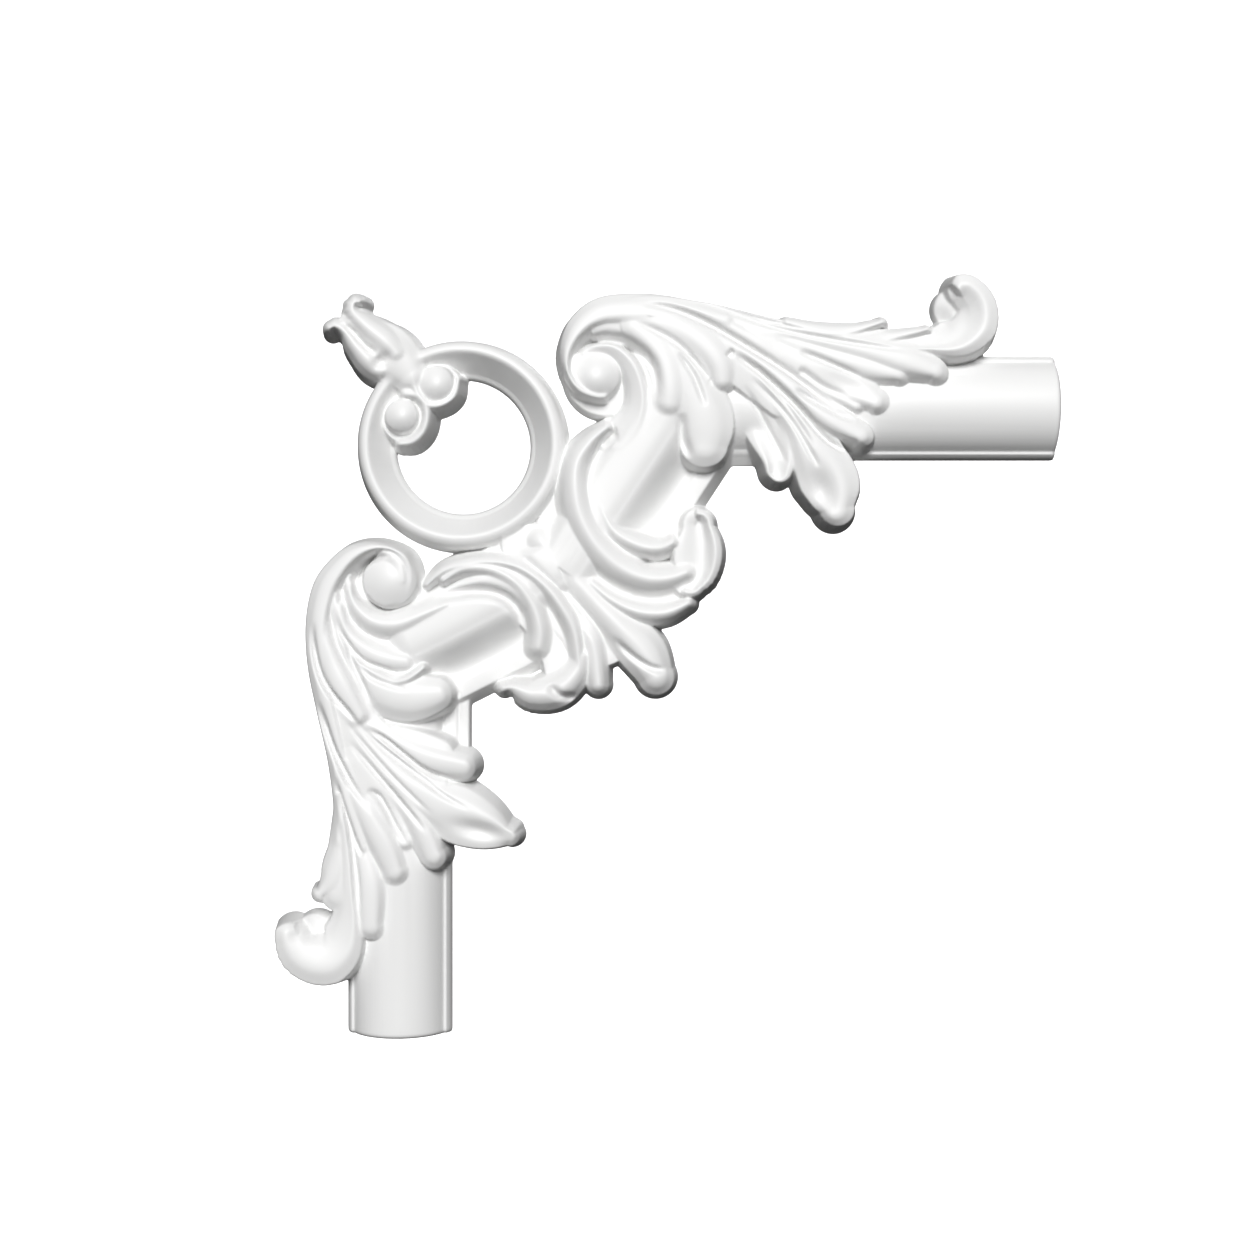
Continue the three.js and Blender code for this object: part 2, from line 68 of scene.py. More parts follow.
@dataclass(frozen=True)
class Sheet:
    """The drawing sheet: x to the right and y down, in units, with heights in sixtieths of the relief.

    The sheet is drawn in perspective, from an eye in front of it, so a high point is drawn too far out.
    """

    span: float = 0.270
    span_units: float = 702.0
    relief: float = 0.023
    relief_steps: float = 60.0
    origin: Point = (600.0, 590.0)
    eye: Point = (627.0, 627.0)
    eye_distance: float = 1640.0

    @property
    def unit(self) -> float:
        """Metres to a sheet unit."""
        return self.span / self.span_units

    @property
    def step(self) -> float:
        """Metres to a height step."""
        return self.relief / self.relief_steps

    def shrink(self, height: np.ndarray | float) -> np.ndarray | float:
        """Share of a drawn distance from the eye's foot that is true: 1 - height / eye distance."""
        return 1.0 - height * self.step / self.unit / self.eye_distance

    def right_end(self) -> float:
        """Sheet x of the square end of the right arm."""
        return self.origin[0] + end_of_arm("right_end", 0) / self.unit

    def lower_end(self) -> float:
        """Sheet y of the square end of the arm that runs down."""
        return self.origin[1] + end_of_arm("lower_end", 2) / self.unit

    def place(self, x: np.ndarray, y: np.ndarray, height: np.ndarray) -> np.ndarray:
        """Points of the real object in metres: x right, z up, and -y out from the wall by the height."""
        return np.stack(
            [(x - self.origin[0]) * self.unit, -height * self.step, (self.origin[1] - y) * self.unit], axis=-1
        )


class Section(Enum):
    """Height across a strand, as shares at even steps from its left edge to its right edge."""

    ROUND = (0.66, 0.91, 1.0, 0.91, 0.66)
    BEAD = (0.50, 0.86, 1.0, 0.86, 0.50)
    SOFT = (0.80, 0.96, 1.0, 0.96, 0.80)
    FLAT = (0.94, 0.98, 1.0, 0.98, 0.94)
    SPOON = (0.93, 0.96, 0.84, 0.80, 0.84, 0.96, 0.93)
    SCOOP = (0.84, 0.84, 0.80, 0.73, 0.74, 0.98, 0.90)
    SLOPE = (1.0, 0.98, 0.88, 0.72, 0.52)
    LEFT_HIGH = (0.88, 1.0, 0.95, 0.86, 0.70)
    RIGHT_RIM = (0.66, 0.74, 0.84, 1.0, 0.90)


BEAD, FLAT, ROUND = Section.BEAD, Section.FLAT, Section.ROUND


@dataclass(frozen=True)
class Strand:
    """A ribbon of carving along a centre line with rounded ends.

    Its stations are (x, y, half-width, height): the drawn outline, with the height of the crest. Its tip may
    have a section of its own. What it lies on, at its start and at its tip, tells how much of its wall shows.
    """

    stations: Sequence[Station]
    section: Section = Section.SOFT
    tip: Section | None = None
    melt: float = 2.0
    wall: float = 7.0
    edge: float = 4.5
    lies_on: float = 34.0
    tip_on: float = 0.0


@dataclass(frozen=True)
class Groove:
    """A soft cut along a drawn line at a height of the carving; a negative depth makes it a raised bead."""

    points: Sequence[Point]
    width: float
    depth: float
    height: float = 44.0
    taper: float = 0.3


@dataclass(frozen=True)
class Dish:
    """A round boss or hollow about a drawn point: height at the middle, fall to its rim, and how it joins."""

    centre: Point
    radius: float
    height: float
    fall: float = 4.0
    melt: float = 2.0
    wall: float = 11.0
    lies_on: float = 28.0


@dataclass(frozen=True)
class Dent:
    """A smooth oval hollow pressed into what is there, at a drawn point; a negative depth swells it."""

    centre: Point
    across: float
    along: float
    turn: float
    depth: float
    height: float = 44.0


def between(values: np.ndarray, share: np.ndarray) -> np.ndarray:
    """Values at shares of a list whose entries stand at even steps, joined by smooth cubic steps.

    Each step is the cubic whose end slopes are half the difference of the two neighbours (Catmull-Rom).

    Args:
        values: One row for each entry.
        share: Where to read, from 0 at the first entry to 1 at the last.

    Returns:
        One row for each share.
    """
    last = len(values) - 1
    place = np.clip(share, 0.0, 1.0) * last
    left = np.minimum(place.astype(int), last - 1)
    t = place - left
    if values.ndim > 1:
        t = t[..., None]
    start, end = values[left], values[left + 1]
    start_slope = (end - values[np.maximum(left - 1, 0)]) / 2
    end_slope = (values[np.minimum(left + 2, last)] - start) / 2
    rise = end - start
    bend = 3 * rise - 2 * start_slope - end_slope
    return start + t * (start_slope + t * (bend + t * (start_slope + end_slope - 2 * rise)))


def soft_max(a: np.ndarray, b: np.ndarray, melt: float) -> np.ndarray:
    """The larger of two fields, rounded where they cross: max + (melt - |a - b|)^2 / (4 melt) inside melt."""
    gap = np.maximum(melt - np.abs(a - b), 0.0)
    return np.maximum(a, b) + gap * gap / (4.0 * melt)


def soft_min(a: np.ndarray, b: np.ndarray, melt: float) -> np.ndarray:
    """The smaller of two fields, rounded where they cross."""
    return -soft_max(-a, -b, melt)


def smooth_step(t: np.ndarray) -> np.ndarray:
    """A smooth rise from 0 to 1 as t goes from 0 to 1: 3 t^2 - 2 t^3."""
    t = np.clip(t, 0.0, 1.0)
    return t * t * (3.0 - 2.0 * t)


def nearest(x: np.ndarray, y: np.ndarray, line: np.ndarray) -> tuple[np.ndarray, np.ndarray, np.ndarray]:
    """The nearest point of a polyline to each cell.

    Each stretch gives the foot of the perpendicular, held to the stretch, and the closest stretch wins.

    Args:
        x: Cell x values, as a row.
        y: Cell y values, as a column.
        line: The polyline's points.

    Returns:
        Place along the line from 0 to 1, distance, and side: -1 on the left and 1 on the right.
    """
    best = np.full(np.broadcast_shapes(x.shape, y.shape), 1e12, np.float32)
    place = np.zeros_like(best)
    side = np.ones_like(best)
    for i in range(len(line) - 1):
        ax, ay = line[i]
        dx, dy = line[i + 1] - line[i]
        px, py = x - ax, y - ay
        t = np.clip((px * dx + py * dy) / max(dx * dx + dy * dy, 1e-9), 0.0, 1.0)
        ex, ey = px - t * dx, py - t * dy
        square = ex * ex + ey * ey
        closer = square < best
        best = np.where(closer, square, best)
        place = np.where(closer, i + t, place)
        side = np.where(closer, np.where(dx * ey - dy * ex < 0, -1.0, 1.0), side)
    return place / (len(line) - 1), np.sqrt(best), side


class Carving:
    """The height field: one height for each cell of an even grid over the true plan of the sheet."""

    LEFT, TOP = 268.0, 258.0  # sheet edges beyond the ornament
    MARGIN = 2.0  # spare units round the window of a piece
    BARE = 2.0  # a cut leaves alone what stands no higher than this
    SAMPLES, SPACING, FEWEST = 16, 4.0, 6  # points to a station, units between kept ones, least count
    START_SHARE, END_SHARE = 0.3, 0.4  # most of a line's length that its rounded ends take
    NARROWEST = 0.35  # share of its width that a strand keeps under its walls
    GROOVE_SAMPLES, GROOVE_REACH = 10, 3.0  # points to a station, and widths to where a groove ends
    DENT_REACH = 2.6  # widths to where a dent ends
    DISH_EDGE, SEAM = 3.0, 0.5  # rounding of a boss's edge, and of the seams between mouldings

    def __init__(self, sheet: Sheet, cell: float) -> None:
        """Lays out an empty field whose last column and row lie on the square ends of the arms.

        Args:
            sheet: The drawing sheet.
            cell: Size of a cell, in units.
        """
        self.sheet = sheet
        self.cell = cell
        columns = int((sheet.right_end() - self.LEFT) / cell)
        rows = int((sheet.lower_end() - self.TOP) / cell)
        self.xs = (sheet.right_end() - cell * np.arange(columns)[::-1]).astype(np.float32)
        self.ys = (sheet.lower_end() - cell * np.arange(rows)[::-1]).astype(np.float32)
        self.z = np.full((rows, columns), FLOOR, np.float32)

    def window(self, low: np.ndarray, high: np.ndarray) -> tuple[tuple[slice, slice], np.ndarray, np.ndarray]:
        """The part of the field between two corners, with its x values as a row and y values as a column."""
        c0, c1 = np.searchsorted(self.xs, [low[0], high[0]])
        r0, r1 = np.searchsorted(self.ys, [low[1], high[1]])
        return (slice(r0, r1), slice(c0, c1)), self.xs[None, c0:c1], self.ys[r0:r1, None]

    def true(self, drawn: np.ndarray, height: np.ndarray | float) -> np.ndarray:
        """True plan places of points drawn at a height: eye + (drawn - eye) * shrink."""
        eye = np.array(self.sheet.eye)
        share = np.asarray(self.sheet.shrink(height))
        return eye + (drawn - eye) * (share[..., None] if share.ndim else share)

    def trace(self, stations: np.ndarray) -> np.ndarray:
        """A smooth line through stations, shortened at both ends by the half-width there.

        Args:
            stations: One row for each station, with the half-width third.

        Returns:
            The stations' values at even steps along the line.
        """
        fine = between(stations, np.linspace(0, 1, self.SAMPLES * (len(stations) - 1) + 1))
        run = np.concatenate([[0.0], np.cumsum(np.hypot(*np.diff(fine[:, :2], axis=0).T))])
        start = min(stations[0, 2], self.START_SHARE * run[-1])
        end = run[-1] - min(stations[-1, 2], self.END_SHARE * run[-1])
        count = max(self.FEWEST, int((end - start) / self.SPACING))
        places = np.linspace(start, end, count)
        return np.stack([np.interp(places, run, fine[:, k]) for k in range(stations.shape[1])], axis=1)

    def inset(
        self,
        x: np.ndarray,
        y: np.ndarray,
        crest: tuple[np.ndarray | float, np.ndarray | float],
        heights: tuple[np.ndarray | float, np.ndarray | float, np.ndarray | float],
        wall: float,
    ) -> np.ndarray:
        """How far a top edge stands in from its drawn outline, the outermost point that the eye sees.

        The slant is (cell to eye) . (unit vector from crest to cell) * step / (unit * eye distance). The eye
        sees the wall's foot (edge - foot) / wall + slant * (crest - foot) further out than the edge, and the
        edge itself slant * (crest - edge) further out than its place. The larger of the two is the inset.

        Args:
            x: Cell x values.
            y: Cell y values.
            crest: The nearest point of the crest, as x and y.
            heights: Heights of the crest, of the top edge and of the wall's foot.
            wall: Slope of the wall.

        Returns:
            The inset in units; it can be negative on sides that face away from the eye.
        """
        aside, down = x - crest[0], y - crest[1]
        away = np.maximum(np.hypot(aside, down), 1e-3)
        toward = (self.sheet.eye[0] - x) * aside + (self.sheet.eye[1] - y) * down
        slant = toward / away * self.sheet.step / self.sheet.unit / self.sheet.eye_distance
        top, edge, foot = heights
        return np.maximum((edge - foot) / wall + slant * (top - foot), slant * (top - edge))

    def add(self, strand: Strand) -> None:
        """Lays a strand into the field.

        Top: the height along the strand times its section's share across it. Wall: a steep plane that falls
        outwards from the edge. The strand is the lower of the two, and the field the higher of it and itself.

        Args:
            strand: The strand to lay.
        """
        line = self.trace(np.array(strand.stations, float))
        shrink = self.sheet.shrink(line[:, 3])
        points = self.true(line[:, :2], line[:, 3])
        widths = line[:, 2] * shrink
        reach = widths.max() + (line[:, 3].max() - FLOOR) / strand.wall + self.MARGIN
        spot, x, y = self.window(points.min(0) - reach, points.max(0) + reach)
        place, distance, side = nearest(x, y, points)
        steps = np.linspace(0, 1, len(line))
        width = np.interp(place, steps, widths)
        height = np.interp(place, steps, line[:, 3])
        fade = smooth_step(place) if strand.tip is not None else 0.0
        tip = strand.tip or strand.section
        rim = self.share_across((side + 1) / 2, strand.section, tip, fade)
        crest = np.interp(place, steps, points[:, 0]), np.interp(place, steps, points[:, 1])
        foot = strand.lies_on + (strand.tip_on - strand.lies_on) * place**2
        inset = self.inset(x, y, crest, (height, height * rim, np.minimum(foot, height * rim)), strand.wall)
        width = np.maximum(width - inset, self.NARROWEST * width)
        across = (np.clip(side * distance / width, -1, 1) + 1) / 2
        top = height * self.share_across(across, strand.section, tip, fade)
        wall = height * rim + (width - distance) * strand.wall
        self.z[spot] = soft_max(self.z[spot], soft_min(top, wall, strand.edge), strand.melt)

    @staticmethod
    def share_across(
        across: np.ndarray, start: Section, end: Section, fade: np.ndarray | float
    ) -> np.ndarray:
        """Shares of the height at places across a strand, fading from its section to its tip's section."""
        share = between(np.array(start.value), across)
        return share if start is end else share + fade * (between(np.array(end.value), across) - share)

    def press(self, spot: tuple[slice, slice], depth: np.ndarray) -> None:
        """Lowers a window of the field by a depth, where it stands above bare ground."""
        here = self.z[spot]
        self.z[spot] = np.where(here > self.BARE, here - depth, here)

    def cut(self, groove: Groove) -> None:
        """Cuts a groove: depth * exp(-(distance / width)^2), fading over its taper at both ends.

        Args:
            groove: The groove to cut.
        """
        samples = np.linspace(0, 1, self.GROOVE_SAMPLES * (len(groove.points) - 1) + 1)
        points = self.true(between(np.array(groove.points, float), samples), groove.height)
        reach = self.GROOVE_REACH * groove.width
        spot, x, y = self.window(points.min(0) - reach, points.max(0) + reach)
        place, distance, _ = nearest(x, y, points)
        fade = smooth_step(np.minimum(place, 1.0 - place) / groove.taper)
        self.press(spot, groove.depth * np.exp(-((distance / groove.width) ** 2)) * fade)

    def dish(self, dish: Dish) -> None:
        """Lays a round boss: height - fall * (radius share)^2 inside its rim, with a wall round it.

        Args:
            dish: The boss to lay.
        """
        centre = self.true(np.array(dish.centre), dish.height)
        reach = dish.radius + (dish.height - FLOOR) / dish.wall + self.MARGIN
        spot, x, y = self.window(centre - reach, centre + reach)
        distance = np.hypot(x - centre[0], y - centre[1])
        edge = dish.height - dish.fall
        heights = (dish.height, edge, min(dish.lies_on, edge))
        inset = self.inset(x, y, (centre[0], centre[1]), heights, dish.wall)
        radius = dish.radius - inset
        top = dish.height - dish.fall * np.minimum(distance / radius, 1.0) ** 2
        wall = edge + (radius - distance) * dish.wall
        self.z[spot] = soft_max(self.z[spot], soft_min(top, wall, self.DISH_EDGE), dish.melt)

    def dent(self, dent: Dent) -> None:
        """Presses an oval: depth * exp(-(u / across)^2 - (v / along)^2) in the oval's own turned axes.

        Args:
            dent: The oval to press.
        """
        centre = self.true(np.array(dent.centre), dent.height)
        reach = self.DENT_REACH * max(dent.across, dent.along)
        spot, x, y = self.window(centre - reach, centre + reach)
        cos, sin = math.cos(math.radians(dent.turn)), math.sin(math.radians(dent.turn))
        u = (x - centre[0]) * cos + (y - centre[1]) * sin
        v = (y - centre[1]) * cos - (x - centre[0]) * sin
        self.press(spot, dent.depth * np.exp(-((u / dent.across) ** 2) - (v / dent.along) ** 2))

    def work(self, *pieces: Strand | Groove | Dish | Dent) -> None:
        """Works pieces of carving into the field, in order."""
        ways = {Strand: self.add, Groove: self.cut, Dish: self.dish, Dent: self.dent}
        for piece in pieces:
            ways[type(piece)](piece)

    def lay(self, low: np.ndarray, high: np.ndarray, shape: Callable[..., np.ndarray]) -> None:
        """Lays any shape given as a function of x and y into a window of the field."""
        spot, x, y = self.window(low, high)
        self.z[spot] = soft_max(self.z[spot], shape(x, y), self.SEAM)

    def blurred(self, sigma: float) -> np.ndarray:
        """The field blurred by a Gaussian: a product of transforms, with the field's edges repeated.

        Args:
            sigma: Width of the Gaussian, in units.

        Returns:
            The blurred heights.
        """
        pad = int(3 * sigma / self.cell) + 2
        field = np.pad(self.z, pad, mode="edge")
        rows = np.fft.fftfreq(field.shape[0])[:, None]
        columns = np.fft.rfftfreq(field.shape[1])[None, :]
        weight = np.exp(-2.0 * (math.pi * sigma / self.cell) ** 2 * (rows**2 + columns**2))
        soft = np.fft.irfft2(np.fft.rfft2(field) * weight, s=field.shape)
        return soft[pad:-pad, pad:-pad].astype(np.float32)


@dataclass(frozen=True)
class HalfSection:
    """Half of a moulding's section, from its ridge outwards, in units and height steps."""

    ridge: float
    dome: float
    groove: float
    fillet: float
    reach: float
    lean: float = 1.0
    radius: float = 51.5
    quirk: float = 2.6
    cove: float = 3.0
    fall: float = 2.6
    corner: Point = (1.6, 1.2)
    skirt: Point = (6.0, -50.0)

    def heights(self, distance: np.ndarray) -> np.ndarray:
        """Height at distances from the ridge.

        The dome is an arc: ridge - radius + sqrt(radius^2 - distance^2). A steep side drops from it to the
        groove. Then come a fillet that slopes a little outwards, its rounded corner, and the wall.

        Args:
            distance: Distances from the ridge line.

        Returns:
            The heights.
        """
        arc = np.linspace(0, self.dome, 24)
        dome = self.ridge - self.radius + np.sqrt(self.radius**2 - arc**2)
        bottom = self.dome + self.quirk
        top = self.reach - self.lean
        edge = self.fillet - self.fall
        wide, drop = self.corner
        past = self.reach + self.skirt[0]
        xs = np.concatenate([arc, [bottom, bottom + self.cove, top - wide, top, self.reach, past]])
        hs = np.concatenate([dome, [self.groove, self.fillet, edge, edge - drop, 0.0, self.skirt[1]]])
        return np.maximum(np.interp(distance, xs, hs), FLOOR)


@dataclass(frozen=True)
class CoveSection:
    """Half of a slanting leg's section: a broad ridge that sweeps into a cove, with a lip at its edge."""

    ridge: float
    cove: float
    shoulder: float
    cove_width: float
    reach: float
    lip: float = 4.0
    lean: float = 10.0
    slack: float = 2.0
    lip_width: float = 8.0

    def heights(self, distance: np.ndarray) -> np.ndarray:
        """Height at distances from the ridge: level, a half cosine wave to the cove, the lip and a wall.

        Args:
            distance: Distances from the ridge line.

        Returns:
            The heights.
        """
        turn = np.clip((distance - self.shoulder) / (self.cove_width - self.shoulder), 0, 1)
        wave = (1 + np.cos(np.pi * turn)) / 2
        sweep = self.cove + (self.ridge - self.cove) * wave
        sweep -= self.slack * np.clip(distance / self.shoulder, 0, 1) ** 2
        sweep += (self.lip + self.slack) * smooth_step((distance - self.cove_width) / self.lip_width)
        wall = self.cove + self.lip + (self.reach - self.lean - distance) * (self.cove + self.lip) / self.lean
        return np.maximum(np.minimum(sweep, wall), FLOOR)


@dataclass(frozen=True)
class Run:
    """A straight length of moulding between two true sheet points, with a section for each side."""

    start: Point
    end: Point
    left: HalfSection | CoveSection
    right: HalfSection | CoveSection
    rounding: float = 0.0
    reach: float = 90.0
    slack: float = 0.1

    def carve(self, field: Carving) -> None:
        """Lays the run: its section at the distance from the ridge, between its two ends.

        Towards its start it drops by rounding * (1 - sqrt(1 - (1 - along / rounding)^2)), a quarter round.

        Args:
            field: The field to lay it in.
        """
        start, end = np.array(self.start), np.array(self.end)
        length = float(np.hypot(*(end - start)))
        ahead = (end - start) / length

        def shape(x: np.ndarray, y: np.ndarray) -> np.ndarray:
            """Height of the run over cells.

            Args:
                x: Cell x values.
                y: Cell y values.

            Returns:
                The heights.
            """
            along = (x - start[0]) * ahead[0] + (y - start[1]) * ahead[1]
            aside = (y - start[1]) * ahead[0] - (x - start[0]) * ahead[1]
            height = np.where(aside < 0, self.left.heights(-aside), self.right.heights(aside))
            if self.rounding:
                share = np.clip(1 - along / self.rounding, 0, 1)
                height = height - self.rounding * (1 - np.sqrt(1 - share**2))
            return np.where((along >= -self.slack) & (along <= length + self.slack), height, FLOOR)

        field.lay(np.minimum(start, end) - self.reach, np.maximum(start, end) + self.reach, shape)


@dataclass(frozen=True)
class Moulding:
    """The moulding that the corner joins: two square-ended arms, their steps, and two slanting legs."""

    ridge: float = 36.0
    leg_ridge: float = 45.0
    fillet: float = 11.6
    groove: float = 10.6
    half_width: float = 52.6
    dome: float = 41.8
    rounding: float = 5.0
    arm_x: float = 400.5
    arm_y: float = 408.6
    left_leg: tuple[Point, Point] = ((398.0, 652.0), (560.0, 570.0))
    right_leg: tuple[Point, Point] = ((566.0, 573.0), (690.0, 384.0))
    left_step: float = 71.5
    right_step: float = 58.5
    step_length: float = 114.0

    def carve(self, field: Carving) -> None:
        """Lays the arms, the steps beside the corner and the two legs.

        Args:
            field: The field to lay them in.
        """
        profile = (self.ridge, self.dome, self.groove, self.fillet)
        straight = HalfSection(*profile, self.half_width, lean=3.0)
        wide = HalfSection(*profile, self.left_step, cove=12.0, fall=0.6)
        low = HalfSection(self.ridge, 34.0, self.groove, 14.0, self.right_step, lean=13.0, fall=0.6)
        inner = CoveSection(self.leg_ridge, 15.0, 12.0, 48.0, 80.0)
        outer = CoveSection(self.leg_ridge, 22.0, 22.0, 44.0, 54.0, lip=0.0, lean=3.0)
        foot = (self.arm_x, field.sheet.lower_end())
        head = (self.arm_x, self.left_leg[0][1])
        far = (field.sheet.right_end(), self.arm_y)
        near = (self.right_leg[1][0], self.arm_y)
        for run in (
            Run(foot, head, straight, straight, self.rounding),
            Run((self.arm_x, head[1] + self.step_length), head, straight, wide),
            Run(far, near, straight, straight, self.rounding),
            Run(near, (near[0] + self.step_length, self.arm_y), straight, low),
            Run(*self.left_leg, outer, inner, 20.0),
            Run(*self.right_leg, outer, inner),
        ):
            run.carve(field)
        field.work(
            Groove([(442, 690), (442, 800)], 2.6, 4.0, 11, 0.05),
            Groove([(459, 690), (459, 800)], 1.6, 2.0, 11, 0.05),
        )


@dataclass(frozen=True)
class Ring:
    """The open ring with its collar of two small volutes and the bud that grows from it."""

    centre: Point = (463.8, 447.6)
    rim: float = 104.0
    bead: float = 93.0
    hole: float = 66.3
    height: float = 37.5
    lip: float = 9.5

    def carve(self, field: Carving) -> None:
        """Lays the ring, the volutes and the bud."""
        for part in (self._ring, self._volutes, self._bud):
            part(field)

    def _ring(self, field: Carving) -> None:
        """Lays the ring: heights at radii from the hole's wall, over the sloping face, to bead and rim.

        Args:
            field: The field to lay it in.
        """
        radii = [self.hole - 1, self.hole, self.hole + 1, self.hole + 3, self.hole + 6, 88.5, 90.5, self.bead]
        radii += [96.0, 99.5, 102.5, self.rim, self.rim + 4.0]
        heights = [FLOOR, 0.0, 4.0, 7.0, self.lip, 35.0, 37.2, self.height, 36.6, 33.0, 25.0, 12.0, FLOOR]

        def shape(x: np.ndarray, y: np.ndarray) -> np.ndarray:
            """Height of the ring at cells, by their radius."""
            radius = np.hypot(x - self.centre[0], y - self.centre[1])
            return np.interp(radius, radii, heights, left=FLOOR, right=FLOOR)

        centre = np.array(self.centre)
        field.lay(centre - self.rim - 8, centre + self.rim + 8, shape)

    def _volutes(self, field: Carving) -> None:
        """Lays the two small volutes that clasp the ring."""
        field.work(
            Dish((438, 388), 24, 26, 2),
            Dish((406, 420), 24, 26, 2),
            Strand([(412, 368, 7, 39), (416, 390, 8, 40), (428, 405, 7, 40), (444, 404, 6, 39),
                    (455, 394, 6, 37), (459, 376, 4, 35)], ROUND, melt=1.5, tip_on=28),
            Strand([(398, 394, 8, 39), (418, 396, 8, 40), (427, 411, 7, 40), (424, 430, 7, 40),
                    (412, 442, 7, 39), (396, 444, 5, 36)], ROUND, melt=1.5, tip_on=28),
            Dish((436, 384), 18, 44, 9, 1.0),
            Dish((402, 416), 17, 44, 9, 1.0),
        )

    def _bud(self, field: Carving) -> None:
        """Lays the bud: its body, the two petals, and the lip of the lower petal."""
        field.work(
            Strand([(416, 384, 12, 40), (402, 366, 24, 43), (385, 351, 29, 45), (366, 336, 25, 44),
                    (346, 318, 14, 40)], melt=4),
            Strand([(404, 364, 14, 45), (386, 343, 19, 49), (366, 326, 16, 49), (353, 312, 12, 46),
                    (355, 302, 9, 44), (365, 305, 6, 42)], ROUND, melt=1.5, tip_on=20),
            Strand([(392, 375, 12, 42), (371, 362, 16, 46), (356, 346, 13, 46), (345, 331, 10, 44),
                    (334, 326, 9, 43), (326, 333, 7, 41)], ROUND, melt=1.5, tip_on=20),
            Groove([(342, 322), (352, 331), (366, 346), (378, 354)], 2.4, 7),
            Dent((381, 361), 5, 8, 45, 8),
        )


